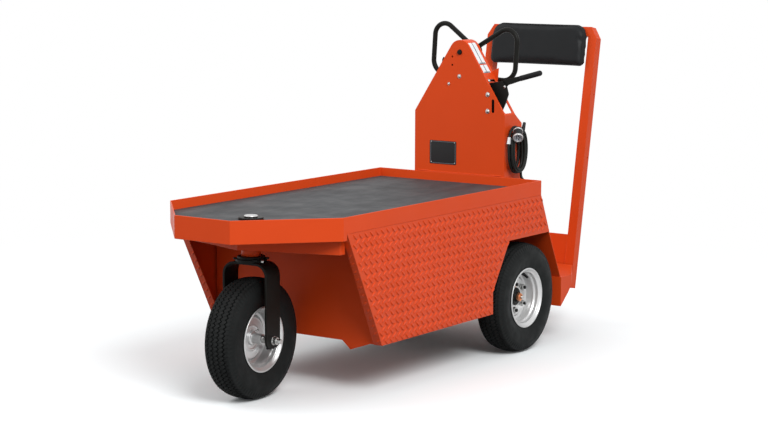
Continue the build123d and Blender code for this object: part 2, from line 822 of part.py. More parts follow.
def handlebar():
    """Two hand loops on one plane, joined by a low crossbar and fixed to the hub."""
    root_z = steer_pivot_z + bar_root_lift
    peak_z = root_z + (bar_half_span - bar_root_x) * tan(radians(bar_rise))
    right = FilletPolyline(
        (bar_root_x, root_z), (bar_half_span, peak_z), (bar_half_span, bar_low_z), (0, bar_low_z),
        radius=[bar_top_bend, bar_low_bend],
    )
    path = front_plane(bar_plane_y) * right
    section = Plane(origin=path @ 0, z_dir=path % 0) * Circle(bar_tube_radius)
    loop = sweep(section, path=path)
    bar = loop + mirror(loop, Plane.YZ)
    web_height = steer_pivot_z - bar_low_z
    web = Pos(0, bar_plane_y, steer_pivot_z - web_height / 2)
    bar += web * Box(bar_web_width, bar_web_gauge, web_height + bar_tube_radius)
    hub = Pos(0, bar_plane_y, steer_pivot_z) * Rot(90, 0, 0)
    bar += hub * Cylinder(bar_hub_radius, 1.75 * bar_tube_radius)
    return bar - hub * Cylinder(steer_hub_radius + seat_clearance, 8 * bar_tube_radius)


# Parking brake

def brake_bracket():
    """Plate in the shoulder's opening, with the lever's pin and a block to the front plate."""
    # columns: x, z
    outline = [(104, 930), (113, 988), (166, 998), (190, 978), (198, 950), (186, 915), (165, 872), (104, 872)]
    plate = flat_sheet(outline, front_plane(brake_plane_y), brake_plate_gauge)
    foot_y = tower_front_y + sheet_gauge + seat_clearance
    depth = brake_plane_y - brake_plate_gauge - foot_y
    block_x, block_z = brake_block_place
    plate += Pos(block_x, foot_y + depth / 2, block_z) * Box(brake_block_width, depth, brake_block_height)
    pivot_x, pivot_z = brake_pivot
    pin_end = brake_plane_y + brake_lever_gap + 2 * brake_lever_gauge
    pivot = (pivot_x, brake_plane_y, pivot_z)
    return plate + bar_between(pivot, (pivot_x, pin_end, pivot_z), brake_pin_radius)


def lever_run():
    return Vector(lever_tip[0] - brake_pivot[0], 0, lever_tip[1] - brake_pivot[1])


def lever_plane(behind):
    """Lies across the lever's pivot. Local axes run along the lever and up from it."""
    y = brake_plane_y + brake_lever_gap + behind
    return Plane(origin=(brake_pivot[0], y, brake_pivot[1]), x_dir=lever_run(), z_dir=(0, -1, 0))


def brake_lever():
    plane = lever_plane(brake_lever_gauge)
    length = lever_run().length - 2 * lever_half_height
    arm = extrude(plane * Pos(length / 2, 0) * Rectangle(length, 2 * lever_half_height), brake_lever_gauge)
    arm += extrude(plane * Circle(brake_boss_radius), brake_lever_gauge)
    return arm - extrude(plane * Circle(brake_pin_radius + running_clearance), brake_lever_gauge)


def brake_grip():
    y = brake_plane_y + brake_lever_gap + brake_lever_gauge / 2
    tip = Vector(lever_tip[0], y, lever_tip[1])
    start = tip - lever_run().normalized() * grip_length
    grip = bar_between(tuple(start), tuple(tip), grip_radius)
    grip = fillet(grip.edges().sort_by(Axis.X)[-1], grip_rounding)
    plane = lever_plane(brake_lever_gauge + seat_clearance)
    reach = lever_run().length - 2 * lever_half_height + seat_clearance
    flat = Rectangle(2 * reach, 2 * (lever_half_height + seat_clearance))
    return grip - extrude(plane * flat, brake_lever_gauge + 2 * seat_clearance)


# Charger lead

def coil_block(extra):
    """The outside of the coil, larger by extra all round."""
    y, z = coil_centre
    seat = side_plane(tower_half_width + coil_side_gap, y, z)
    outline = SlotOverall(coil_height + 2 * extra, coil_width + 2 * extra)
    return extrude(seat * Rot(0, 0, 90) * outline, coil_thickness)


def cord_coil():
    y, z = coil_centre
    seat = side_plane(tower_half_width + coil_side_gap, y, z)
    inner = seat * Rot(0, 0, 90) * SlotOverall(coil_height - 2 * coil_band, coil_width - 2 * coil_band)
    return coil_block(0) - extrude(inner, coil_thickness)


def cord_hook():
    y, z = coil_centre
    hang = z + coil_height / 2 - coil_band - hook_radius - seat_clearance
    start_x = tower_half_width + seat_clearance
    end_x = start_x + coil_thickness + 3 * hook_radius
    path = FilletPolyline(
        (start_x, y, hang), (end_x, y, hang), (end_x, y + hook_sweep, hang + hook_rise), radius=hook_bend
    )
    section = Plane(origin=path @ 0, z_dir=path % 0) * Circle(hook_radius)
    return sweep(section, path=path)


coil_middle_x = tower_half_width + coil_side_gap + coil_thickness / 2
lead_y = coil_centre[0] + lead_offset
# columns: x, y, z, from the gland up to the side of the coil
cord_route = [
    (tower_half_width + gland_length, lead_y, gland_z),
    (tower_half_width + gland_length + lead_out, lead_y, gland_z),
    (tower_half_width + gland_length + lead_out, lead_y, gland_z + lead_rise),
    (coil_middle_x, lead_y, gland_z + 2 * lead_rise),
    (coil_middle_x, lead_y, coil_centre[1] - coil_height / 2 + coil_width / 2),
]


def cord_radii(route):
    """Each arc is as large as its two runs allow."""
    points = [Vector(*point) for point in route]
    radii = []
    for before, corner, after in zip(points, points[1:], points[2:]):
        turn = (corner - before).get_angle(after - corner)
        shorter = min((corner - before).length, (after - corner).length)
        radii.append(0.45 * shorter / tan(radians(turn) / 2))
    return radii


def cord_tube():
    radii = cord_radii(cord_route)
    print("cord arc radii", [round(radius, 1) for radius in radii])
    path = FilletPolyline(*cord_route, radius=radii)
    section = Plane(origin=path @ 0, z_dir=path % 0) * Circle(cord_radius)
    tube = sweep(section, path=path)
    full = pi * cord_radius ** 2 * path.length
    print("cord tube length", round(path.length, 1), "volume share", round(tube.volume / full, 4))
    return tube - coil_block(seat_clearance)


def cord_gland():
    start = (tower_half_width + seat_clearance, lead_y, gland_z)
    end = (tower_half_width + gland_length, lead_y, gland_z)
    gland = bar_between(start, end, gland_radius)
    return chamfer(gland.edges().sort_by(Axis.X)[-1], gland_radius - cord_radius - sheet_gauge / 3)


def cord_plug():
    """A round plug beside the coil, its face turned down and out, on a short end of cord."""
    y, z = coil_centre
    coil_face_x = tower_half_width + coil_side_gap + coil_thickness
    tail = Vector(coil_face_x + plug_neck_radius + seat_clearance, y - plug_ahead, z + plug_lift)
    axis = Vector(0.28, -0.55, -0.79)
    seat = Plane(origin=tail, z_dir=axis)
    neck = seat.offset(plug_length / 2)
    plug = loft([seat * Circle(plug_neck_radius), neck * Circle(plug_radius - sheet_gauge)])
    plug += extrude(neck * Circle(plug_radius), plug_length / 2)
    return plug + bar_between(tuple(tail), tuple(tail + Vector(*plug_cord_run)), cord_radius)


# All pieces, under their names

def place_wheel(shape, x):
    return Pos(x, rear_axle_y, tyre_radius) * shape


def turn_fork(shape):
    """Steers a piece of the fork or front wheel by the angle it stands at."""
    return Pos(0, front_axle_y, 0) * Rot(0, 0, steer_now) * Pos(0, -front_axle_y, 0) * shape


def turn_bar(shape):
    """Turns a piece of the handlebar with the fork."""
    pivot = Pos(0, 0, steer_pivot_z)
    return pivot * Rot(0, steer_now * bar_ratio, 0) * pivot.inverse() * shape


def other_side(shape):
    return mirror(shape, Plane.YZ)


def all_pieces():
    rear_x = rear_track / 2
    left_rim = place_wheel(rear_rim(), rear_x)
    left_hub = place_wheel(rear_hub(), rear_x)
    front_place = Pos(0, front_axle_y, tyre_radius)
    pieces = {
        "deck_tray": deck_tray(),
        "deck_mat": deck_mat(),
        "deck_ring": deck_ring(),
        "side_panel_left": side_panel(),
        "side_panel_right": other_side(side_panel()),
        "front_bulkhead": front_bulkhead(),
        "underpan": underpan(),
        "battery_pack": battery_pack(),
        "frame_rail_left": frame_rail(),
        "frame_rail_right": other_side(frame_rail()),
        "head_beam": head_beam(),
        "axle_housing": axle_housing(),
        "drive_motor": drive_motor(),
        "rear_bulkhead": rear_bulkhead(),
        "platform": platform(),
        "kick_panel": kick_panel(),
        "post_left": post(),
        "post_right": other_side(post()),
        "top_rail": top_rail(),
        "pad_board": pad_board(),
        "back_pad": back_pad(),
        "tower_shell": tower_shell(),
        "steer_bush": steer_bush(),
        "brake_bracket": brake_bracket(),
        "cord_hook": cord_hook(),
        "cord_gland": cord_gland(),
        "cord_tube": cord_tube(),
        "cord_coil": cord_coil(),
        "cord_plug": cord_plug(),
        "fork_strap": turn_fork(fork_strap()),
        "fork_stem": turn_fork(fork_stem()),
        "front_axle": turn_fork(front_axle()),
        "front_rim": turn_fork(front_place * front_rim()),
        "front_tyre": turn_fork(front_place * tyre()),
        "steer_shaft": turn_bar(steer_shaft()),
        "handlebar": turn_bar(handlebar()),
        "brake_lever": brake_lever(),
        "brake_grip": brake_grip(),
    }
    for side, name in ((1, "left"), (-1, "right")):
        rim = left_rim if side > 0 else other_side(left_rim)
        hub = left_hub if side > 0 else other_side(left_hub)
        pieces["rear_rim_" + name] = rim
        pieces["rear_hub_" + name] = hub
        pieces["rear_tyre_" + name] = place_wheel(tyre(), side * rear_x)
    return pieces


os.makedirs("parts", exist_ok=True)
whole = all_pieces()
for name, shape in whole.items():
    export_step(shape, "parts/" + name + ".step")
boxes = [shape.bounding_box() for shape in whole.values()]
print("length", min(box.min.Y for box in boxes), max(box.max.Y for box in boxes))
print("width", min(box.min.X for box in boxes), max(box.max.X for box in boxes))
print("height", min(box.min.Z for box in boxes), max(box.max.Z for box in boxes))
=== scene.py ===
import json
from math import cos, pi, radians, sin

import bmesh
import bpy
from mathutils import Matrix, Vector
from mathutils.bvhtree import BVHTree


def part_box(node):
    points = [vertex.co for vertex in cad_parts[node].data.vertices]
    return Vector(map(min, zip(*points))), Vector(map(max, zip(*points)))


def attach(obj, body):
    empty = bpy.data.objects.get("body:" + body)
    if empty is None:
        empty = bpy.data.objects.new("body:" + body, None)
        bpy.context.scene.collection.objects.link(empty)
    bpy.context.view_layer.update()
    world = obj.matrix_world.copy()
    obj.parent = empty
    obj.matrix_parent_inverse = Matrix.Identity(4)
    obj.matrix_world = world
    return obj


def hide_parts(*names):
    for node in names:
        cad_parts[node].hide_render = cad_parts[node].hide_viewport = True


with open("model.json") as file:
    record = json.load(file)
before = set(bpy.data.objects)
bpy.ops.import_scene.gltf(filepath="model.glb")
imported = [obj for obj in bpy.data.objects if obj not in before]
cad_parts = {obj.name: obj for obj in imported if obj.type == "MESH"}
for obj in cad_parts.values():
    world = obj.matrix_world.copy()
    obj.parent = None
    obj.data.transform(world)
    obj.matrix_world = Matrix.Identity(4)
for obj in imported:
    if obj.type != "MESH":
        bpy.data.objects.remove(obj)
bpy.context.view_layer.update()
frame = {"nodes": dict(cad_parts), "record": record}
nodes = frame["nodes"]
print("frame loaded:", len(nodes), "nodes")

# Stock chaser, in metres. The front is -Y and the vehicle's left side is +X.
mm = 0.001

view = {
    "place": (4.1454, -6.04506, 1.5360),
    "turn": 34.722,      # degrees about Z
    "tilt": 82.128,      # degrees up from straight down
    "roll": 0.224,
    "lens": 94.65,
    "sensor": 36.0,
}

light = {
    "world": 0.80,       # light from all round
    "bounce": 0.16,      # how pale the floor is for light that it throws back
    "seenFloor": (0.895, 0.925, 0.935),   # its colour in the picture
    "clearFrom": 1.7,    # from here out, in metres, the floor turns into the white backdrop
    "clearAt": 3.4,
    "reach": 30.0,       # half the floor's width
    # columns: place, size, power
    "lamps": [
        ((5.4, -3.6, 5.6), 4.0, 480),
        ((-4.0, -3.0, 6.0), 5.0, 120),
    ],
    "aim": (0, 0, 0.5),
}

colour = {
    "orange": (0.630, 0.060, 0.009),
    "black": (0.009, 0.009, 0.008),
    "mat": (0.066, 0.069, 0.073),
    "matDark": (0.026, 0.028, 0.030),
    "tyre": (0.008, 0.009, 0.009),
    "tread": (0.016, 0.017, 0.017),
    "dust": (0.050, 0.048, 0.045),
    "silver": (0.60, 0.60, 0.60),
    "zinc": (0.46, 0.46, 0.45),
    "copper": (0.62, 0.26, 0.13),
    "vinyl": (0.010, 0.011, 0.012),
    "plastic": (0.012, 0.012, 0.013),
    "cord": (0.010, 0.011, 0.010),
    "battery": (0.030, 0.030, 0.032),
    "label": (0.74, 0.75, 0.76),
    "labelLine": (0.20, 0.22, 0.24),
    "plugFace": (0.40, 0.42, 0.46),
}


# Shader effects that several materials share

def fill(tree, node, inputs):
    # Each input takes a plain value or another node's output
    for key, value in inputs.items():
        if isinstance(value, bpy.types.NodeSocket):
            tree.links.new(value, node.inputs[key])
        else:
            node.inputs[key].default_value = value


def addNode(tree, kind, inputs=None, **settings):
    # Returns the new node's outputs
    node = tree.nodes.new("ShaderNode" + kind)
    for key, value in settings.items():
        setattr(node, key, value)
    fill(tree, node, inputs or {})
    return node.outputs


def calc(tree, operation, *terms, **settings):
    return addNode(tree, "Math", dict(enumerate(terms)), operation=operation, **settings)["Value"]


def blend(tree, kind, share, first, second):
    return addNode(tree, "Mix", {"Factor": share, "A": first, "B": second}, data_type=kind)["Result"]


def newGroup(name, inputs, output, kind="Float"):
    group = bpy.data.node_groups.new(name, "ShaderNodeTree")
    for label, start in inputs.items():
        sort = "Float" if isinstance(start, float) else "Vector" if len(start) == 3 else "Color"
        socket = group.interface.new_socket(name=label, in_out="INPUT", socket_type="NodeSocket" + sort)
        socket.default_value = start
    group.interface.new_socket(name=output, in_out="OUTPUT", socket_type="NodeSocket" + kind)
    return group, group.nodes.new("NodeGroupInput").outputs, group.nodes.new("NodeGroupOutput")


def stretched(group, start):
    place = addNode(group, "TexCoord")["Object"]
    return addNode(group, "VectorMath", {0: place, 1: start["Stretch"]}, operation="MULTIPLY")["Vector"]


def makeMottle():
    # Soft clouds between two values: gives tint, roughness and dust their unevenness
    inputs = {"Scale": 8.0, "Detail": 4.0, "Low": 0.0, "High": 1.0, "Stretch": (1.0, 1.0, 1.0)}
    group, start, end = newGroup("mottle", inputs, "Value")
    spread = stretched(group, start)
    noise = addNode(group, "TexNoise", {"Vector": spread, "Scale": start["Scale"], "Detail": start["Detail"]})
    span = addNode(group, "MapRange", {"Value": noise["Fac"], "From Min": 0.32, "From Max": 0.68,
                                       "To Min": start["Low"], "To Max": start["High"]})
    fill(group, end, {"Value": span["Result"]})
    return group


def makeGrain():
    # Fine relief as a normal: orange peel, leather grain, cast skin
    inputs = {"Scale": 400.0, "Depth": 0.0001, "Strength": 0.3, "Stretch": (1.0, 1.0, 1.0), "Cells": 0.0}
    group, start, end = newGroup("grain", inputs, "Normal", "Vector")
    spread = {"Vector": stretched(group, start), "Scale": start["Scale"]}
    noise = addNode(group, "TexNoise", dict(spread, Detail=2.0))
    cells = addNode(group, "TexVoronoi", dict(spread, Smoothness=0.6), feature="SMOOTH_F1")
    height = blend(group, "FLOAT", start["Cells"], noise["Fac"], cells["Distance"])
    bump = addNode(group, "Bump", {"Height": height, "Distance": start["Depth"],
                                   "Strength": start["Strength"]})
    fill(group, end, {"Normal": bump["Normal"]})
    return group


def makeDust():
    # Where dust settles: faces that look up, broken up by clouds
    group, start, end = newGroup("dust", {"Amount": 0.3, "Scale": 12.0, "Sides": 0.2}, "Mask")
    parts = addNode(group, "SeparateXYZ", {"Vector": addNode(group, "NewGeometry")["Normal"]})
    upward = addNode(group, "MapRange", {"Value": parts["Z"], "From Min": 0.0, "From Max": 1.0,
                                         "To Min": start["Sides"]})
    noise = addNode(group, "TexNoise", {"Vector": addNode(group, "TexCoord")["Object"],
                                        "Scale": start["Scale"], "Detail": 6.0, "Roughness": 0.65})
    broken = addNode(group, "MapRange", {"Value": noise["Fac"], "From Min": 0.38, "From Max": 0.66})
    both = calc(group, "MULTIPLY", upward["Result"], broken["Result"])
    fill(group, end, {"Mask": calc(group, "MULTIPLY", both, start["Amount"], use_clamp=True)})
    return group


def makeTint():
    # A colour that drifts a little lighter and darker over the surface
    inputs = {"Colour": (0.5, 0.5, 0.5, 1.0), "Value": 0.5, "Amount": 0.1}
    group, start, end = newGroup("tint", inputs, "Colour", "Color")
    scaled = calc(group, "MULTIPLY", calc(group, "SUBTRACT", start["Value"], 0.5), start["Amount"])
    lifted = calc(group, "ADD", scaled, 1.0)
    hue = addNode(group, "HueSaturation", {"Value": lifted, "Color": start["Colour"]})
    fill(group, end, {"Colour": hue["Color"]})
    return group


effects = {"mottle": makeMottle(), "grain": makeGrain(), "dust": makeDust(), "tint": makeTint()}
materials = {}


def placeEffect(tree, name, **inputs):
    node = tree.nodes.new("ShaderNodeGroup")
    node.node_tree = effects[name]
    fill(tree, node, inputs)
    return node.outputs[0]


def newMaterial(name):
    materials[name] = bpy.data.materials.new(name)
    materials[name].use_nodes = True
    tree = materials[name].node_tree
    return tree, tree.nodes["Principled BSDF"]


def tone(name):
    return (*colour[name], 1.0)


# columns: colour, metallic, specular, roughness low and high, tint amount, cloud scale, grain scale,
# grain depth in mm, grain strength, cell share, dust amount, dust on upright faces
finishes = {
    "orangePaint": ("orange", 0, 0.15, 0.34, 0.46, 0.07, 3, 520, 0.05, 0.20, 0.0, 0.0, 0.0),
    "diamondPaint": ("orange", 0, 0.18, 0.30, 0.42, 0.06, 5, 520, 0.05, 0.20, 0.0, 0.0, 0.0),
    "blackPaint": ("black", 0, 0.10, 0.36, 0.50, 0.30, 9, 420, 0.06, 0.25, 0.0, 0.02, 0.02),
    "castSkin": ("black", 0, 0.10, 0.55, 0.70, 0.30, 12, 260, 0.25, 0.50, 0.3, 0.06, 0.06),
    "tyreRubber": ("tyre", 0, 0.12, 0.50, 0.68, 0.30, 10, 500, 0.08, 0.40, 0.2, 0.04, 0.08),
    "treadRubber": ("tread", 0, 0.08, 0.70, 0.86, 0.30, 24, 420, 0.10, 0.50, 0.3, 0.06, 0.16),
    "rimSilver": ("silver", 0.72, 0.50, 0.28, 0.44, 0.12, 9, 600, 0.05, 0.25, 0.0, 0.10, 0.10),
    "zincSteel": ("zinc", 1.0, 0.50, 0.22, 0.36, 0.15, 40, 900, 0.03, 0.20, 0.0, 0.0, 0.0),
    "copperNut": ("copper", 1.0, 0.50, 0.24, 0.38, 0.25, 60, 900, 0.03, 0.20, 0.0, 0.0, 0.0),
    "padVinyl": ("vinyl", 0, 0.17, 0.46, 0.60, 0.12, 7, 700, 0.18, 0.55, 0.8, 0.02, 0.03),
    "blackPlastic": ("plastic", 0, 0.16, 0.42, 0.56, 0.15, 14, 650, 0.06, 0.35, 0.2, 0.02, 0.03),
    "gripRubber": ("plastic", 0, 0.16, 0.58, 0.74, 0.15, 14, 500, 0.10, 0.40, 0.2, 0.03, 0.03),
    "cordJacket": ("cord", 0, 0.18, 0.46, 0.60, 0.20, 30, 700, 0.05, 0.30, 0.0, 0.02, 0.03),
    "batteryCase": ("battery", 0, 0.26, 0.50, 0.66, 0.15, 10, 400, 0.10, 0.40, 0.3, 0.10, 0.10),
    "labelWhite": ("label", 0, 0.30, 0.40, 0.50, 0.05, 20, 900, 0.02, 0.10, 0.0, 0.0, 0.0),
    "labelGrey": ("labelLine", 0, 0.30, 0.40, 0.50, 0.05, 20, 900, 0.02, 0.10, 0.0, 0.0, 0.0),
    "plugFace": ("plugFace", 0.2, 0.40, 0.35, 0.50, 0.30, 90, 900, 0.05, 0.30, 0.0, 0.0, 0.0),
    "plateBlack": ("plastic", 0, 0.30, 0.30, 0.42, 0.10, 20, 900, 0.02, 0.10, 0.0, 0.0, 0.0),
}


def makeFinish(name):
    (tint, metallic, specular, roughLow, roughHigh, tintAmount, cloudScale, grainScale, grainDepth,
     grainStrength, cellShare, dustAmount, dustSides) = finishes[name]
    tree, shader = newMaterial(name)
    clouds = placeEffect(tree, "mottle", Scale=cloudScale)
    base = placeEffect(tree, "tint", Colour=tone(tint), Amount=tintAmount, Value=clouds)
    if dustAmount:
        dust = placeEffect(tree, "dust", Amount=dustAmount, Sides=dustSides)
        base = blend(tree, "RGBA", dust, base, tone("dust"))
    fill(tree, shader, {
        "Base Color": base,
        "Metallic": metallic,
        "Specular IOR Level": specular,
        "Roughness": placeEffect(tree, "mottle", Scale=cloudScale * 3, Low=roughLow, High=roughHigh),
        "Normal": placeEffect(tree, "grain", Scale=grainScale, Depth=grainDepth * mm,
                              Strength=grainStrength, Cells=cellShare),
    })


matLook = {
    "streakScale": 5.0,
    # columns: stretch, long along the deck, and detail
    "streaks": [((3.2, 0.45, 1.0), 6.0), ((26.0, 3.0, 1.0), 4.0)],
    "smudgeScale": 3.0,
    "drift": 0.18,
    "rough": (0.55, 0.78),
    "grainDepth": 0.25,
}


def makeDeckMat():
    # Grey ribbed rubber, streaked lighter and darker lengthwise
    look = matLook
    tree, shader = newMaterial("deckRubber")
    wide, fine = [placeEffect(tree, "mottle", Scale=look["streakScale"], Stretch=stretch, Detail=detail)
                  for stretch, detail in look["streaks"]]
    smudge = placeEffect(tree, "mottle", Scale=look["smudgeScale"], Detail=3.0)
    shade = blend(tree, "RGBA", blend(tree, "FLOAT", 0.5, wide, fine), tone("matDark"), tone("mat"))
    low, high = look["rough"]
    fill(tree, shader, {
        "Base Color": placeEffect(tree, "tint", Colour=shade, Value=smudge, Amount=look["drift"]),
        "Specular IOR Level": 0.3,
        "Roughness": placeEffect(tree, "mottle", Scale=9.0, Low=low, High=high),
        "Normal": placeEffect(tree, "grain", Scale=260.0, Depth=look["grainDepth"] * mm,
                              Strength=0.5, Cells=0.4),
    })


for finish in finishes:
    makeFinish(finish)
makeDeckMat()
print("materials made:", len(materials))


# Mesh helpers: a shape is a pair of vertices and faces

def newObject(name, data):
    piece = bpy.data.objects.new(name, data)
    bpy.context.scene.collection.objects.link(piece)
    return piece


def rework(mesh, change):
    work = bmesh.new()
    work.from_mesh(mesh)
    change(work)
    work.to_mesh(mesh)
    work.free()


def newPiece(name, shape, material, body="chassis", smoothAngle=40, replaced=None, slot=None):
    mesh = bpy.data.meshes.new(name)
    mesh.from_pydata([tuple(v) for v in shape[0]], [], shape[1])
    mesh.validate()
    piece = newObject(name, mesh)
    mesh.materials.append(materials[material])
    rework(mesh, lambda work: bmesh.ops.recalc_face_normals(work, faces=work.faces))
    if smoothAngle:
        mesh.shade_smooth()
        mesh.set_sharp_from_angle(angle=radians(smoothAngle))
    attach(piece, body)
    if replaced:
        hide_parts(replaced)
    return piece


def bevelled(piece, width):
    bevel = piece.modifiers.new("edges", "BEVEL")
    bevel.width = width * mm
    bevel.segments = 2
    bevel.limit_method = "ANGLE"
    bevel.angle_limit = radians(35)
    bevel.use_clamp_overlap = True
    return bevel


def angles(count, start=0.0):
    return [start + 2 * pi * step / count for step in range(count)]


def joined(rows, ring=True, loop=False):
    # Faces between rows of points: ring closes each row and loop joins the last row to the first.
    # Rings that don't loop get both ends closed.
    count = len(rows[0])
    verts = [spot for row in rows for spot in row]
    faces = []
    for row in range(len(rows) if loop else len(rows) - 1):
        a, b = row * count, (row + 1) % len(rows) * count
        for i in range(count if ring else count - 1):
            j = (i + 1) % count
            faces.append((a + i, a + j, b + j, b + i))
    if ring and not loop:
        faces += [tuple(range(count)), tuple(range(len(verts) - count, len(verts)))]
    return verts, faces


def turned(profile, segments=48, closed=False):
    # Revolves (along, radius) pairs about X
    rows = [[(along, radius * cos(angle), radius * sin(angle)) for along, radius in profile]
            for angle in angles(segments)]
    verts, faces = joined(rows, closed, True)
    if not closed:
        for end in (0, len(profile) - 1):
            if profile[end][1] > 1e-6:
                faces.append(tuple(range(end, len(verts), len(profile))))
    return verts, faces


def tube(points, radius, sides=12, closed=False):
    # A round tube along points, without twist; radius is a number or one for each point
    count = len(points)
    radii = radius if isinstance(radius, list) else [radius] * count
    rows = []
    across = None
    for i, point in enumerate(points):
        before = points[i - 1] if closed or i else point
        after = points[(i + 1) % count] if closed or i < count - 1 else point
        along = (after - before).normalized()
        if across is None:
            across = along.orthogonal().normalized()
        across = (across - along * across.dot(along)).normalized()
        other = along.cross(across)
        rows.append([point + (across * cos(angle) + other * sin(angle)) * radii[i]
                     for angle in angles(sides)])
    return joined(rows, True, closed)


def prism(outline, thick):
    return joined([outline, [spot + thick for spot in outline]])


def slab(outline, near, far):
    # A flat plate between two depths from its (x, z) outline in mm
    return prism([Vector((x * mm, near, z * mm)) for x, z in outline], Vector((0, far - near, 0)))


def bend(before, corner, after, reach, steps):
    # Points of a curve that cuts the corner
    p = corner + (before - corner).normalized() * reach
    q = corner + (after - corner).normalized() * reach
    for step in range(steps + 1):
        t = step / steps
        yield p * (1 - t) ** 2 + corner * 2 * t * (1 - t) + q * t ** 2


def rounded(profile, radius):
    # Rounds the inner corners of an open profile
    points = [Vector((a, b, 0)) for a, b in profile]
    out = [profile[0]]
    for before, corner, after in zip(points, points[1:], points[2:]):
        reach = min(radius, 0.45 * (before - corner).length, 0.45 * (after - corner).length)
        out += [(spot.x, spot.y) for spot in bend(before, corner, after, reach, 3)]
    return out + [profile[-1]]


def standing(place, direction=(1, 0, 0), scale=mm):
    # Turns +X to a direction and sets it down at a place
    turn = Vector((1, 0, 0)).rotation_difference(Vector(direction)).to_matrix().to_4x4()
    return Matrix.Translation(place) @ turn @ Matrix.Scale(scale, 4)


def moved(shape, matrix):
    return [matrix @ Vector(v) for v in shape[0]], shape[1]


def merged(shapes):
    verts, faces = [], []
    for shapeVerts, shapeFaces in shapes:
        start = len(verts)
        verts += list(shapeVerts)
        faces += [tuple(i + start for i in face) for face in shapeFaces]
    return verts, faces


def turnedPiece(name, profile, place, direction, material, body="chassis", segments=48, **more):
    shape = moved(turned(profile, segments), standing(place, direction))
    return newPiece(name, shape, material, body, **more)


def hexNut(across, height, chamfer):
    # A hexagonal nut standing along X, with its corners taken off
    rings = [(0, across / 2 - chamfer * 0.4), (chamfer * 0.5, across / 2), (height - chamfer, across / 2),
             (height, across / 2 - chamfer)]
    return joined([[(along, flat / cos(pi / 6) * cos(angle), flat / cos(pi / 6) * sin(angle))
                    for angle in angles(6, pi / 6)] for along, flat in rings])


def boltHead(radius, height, place, direction, segments=24):
    # A domed head on a thin washer
    profile = [(0, radius * 1.25), (0.8, radius * 1.25), (1.0, radius * 1.18), (1.1, radius)]
    for step in range(1, 7):
        angle = step / 6 * pi / 2
        profile.append((1.1 + height * sin(angle), max(radius * cos(angle), 0.01)))
    return moved(turned(profile, segments), standing(place, direction))


def surfaceOf(mesh):
    # A tree to cast rays on
    return BVHTree.FromPolygons([v.co for v in mesh.vertices], [tuple(p.vertices) for p in mesh.polygons])


# Materials and softened edges on the CAD pieces, with each edge's width in mm

nodeLooks = {
    "orangePaint": {
        "deck_tray": 1.6, "front_bulkhead": 0.8, "underpan": 0.8, "frame_rail_left": 2.0,
        "frame_rail_right": 2.0, "head_beam": 1.8, "rear_bulkhead": 0.8, "platform": 1.6, "kick_panel": 0.8,
        "post_left": 3.2, "post_right": 3.2, "top_rail": 3.2, "tower_shell": 1.0,
    },
    "blackPaint": {
        "steer_bush": 0.8, "brake_bracket": 0.8, "cord_hook": 0, "fork_strap": 1.6, "fork_stem": 1.0,
        "steer_shaft": 0.8, "handlebar": 0, "deck_ring": 1.0,
    },
    "diamondPaint": {"side_panel_left": 0.9, "side_panel_right": 0.9},
    "castSkin": {"axle_housing": 1.5, "drive_motor": 1.5},
    "blackPlastic": {"pad_board": 1.0, "cord_gland": 0.8},
    "deckRubber": {"deck_mat": 0.8},
    "batteryCase": {"battery_pack": 3.0},
    "zincSteel": {"front_axle": 0.8},
}
weldReach = 0.02 * mm    # corners nearer than this count as one
barCoat = 1.5 * mm       # black vinyl over the handlebar's tube


def dressNode(node, finish, edge):
    node.data.materials.clear()
    node.data.materials.append(materials[finish])
    if edge:
        node.modifiers.new("weld", "WELD").merge_threshold = weldReach
        flat = node.modifiers.new("flat", "DECIMATE")
        flat.decimate_type = "DISSOLVE"
        flat.angle_limit = radians(0.3)
        bevelled(node, edge).harden_normals = True


def coatBar(bar):
    bar.modifiers.new("weld", "WELD").merge_threshold = weldReach
    coat = bar.modifiers.new("coat", "DISPLACE")
    coat.mid_level = 0.0
    coat.strength = barCoat


for finish, edges in nodeLooks.items():
    for name, edge in edges.items():
        dressNode(nodes[name], finish, edge)
coatBar(nodes["handlebar"])
print("frame pieces dressed:", sum(len(edges) for edges in nodeLooks.values()))


# Wheels, in mm; every profile is a list of (along, radius), outward from the wheel's middle

tyreLook = {
    "radius": 205.0,
    "width": 116.0,
    "treadWidth": 94.0,
    "crown": 9.0,
    "beadRadius": 108.5,
    "beadHalf": 46.5,
    "bulgeAt": 0.52,       # how far up the sidewall it's widest
    "fallOff": 2.2,        # how late it draws in above that
    "sideRows": 22,
    "grooves": (-31.0, -10.5, 10.5, 31.0),   # places across the tread
    "grooveWidth": 5.2,
    "grooveDepth": 8.0,
    "zigzag": 4.4,
    "zigCount": 84,
    "sipeDepth": 2.8,
    "lugDepth": 1.6,
    "lugBand": (0.84, 0.99),               # the part of the sidewall that the shoulder lugs cut
    "ringLines": (117.0, 126.0, 172.0),    # thin raised rings on the sidewall
    "ringHalf": 1.9,
    "ringHeight": 0.7,
}


def sidewall(look):
    # From the bead out to the tread's edge: (across, radius, whether shoulder lugs cut it)
    half = look["width"] / 2
    edge = look["treadWidth"] / 2
    rise = look["radius"] - look["crown"] - look["beadRadius"]
    bulge = look["bulgeAt"]
    low, high = look["lugBand"]
    points = []
    for step in range(look["sideRows"] + 1):
        t = step / look["sideRows"]
        radius = look["beadRadius"] + rise * t
        if t < bulge:
            across = look["beadHalf"] + (half - look["beadHalf"]) * sin(pi / 2 * t / bulge)
        else:
            across = half - (half - edge) * ((t - bulge) / (1 - bulge)) ** look["fallOff"]
        if any(abs(radius - ring) < look["ringHalf"] for ring in look["ringLines"]):
            across += look["ringHeight"]
        points.append((across, radius, low < t < high))
    return points


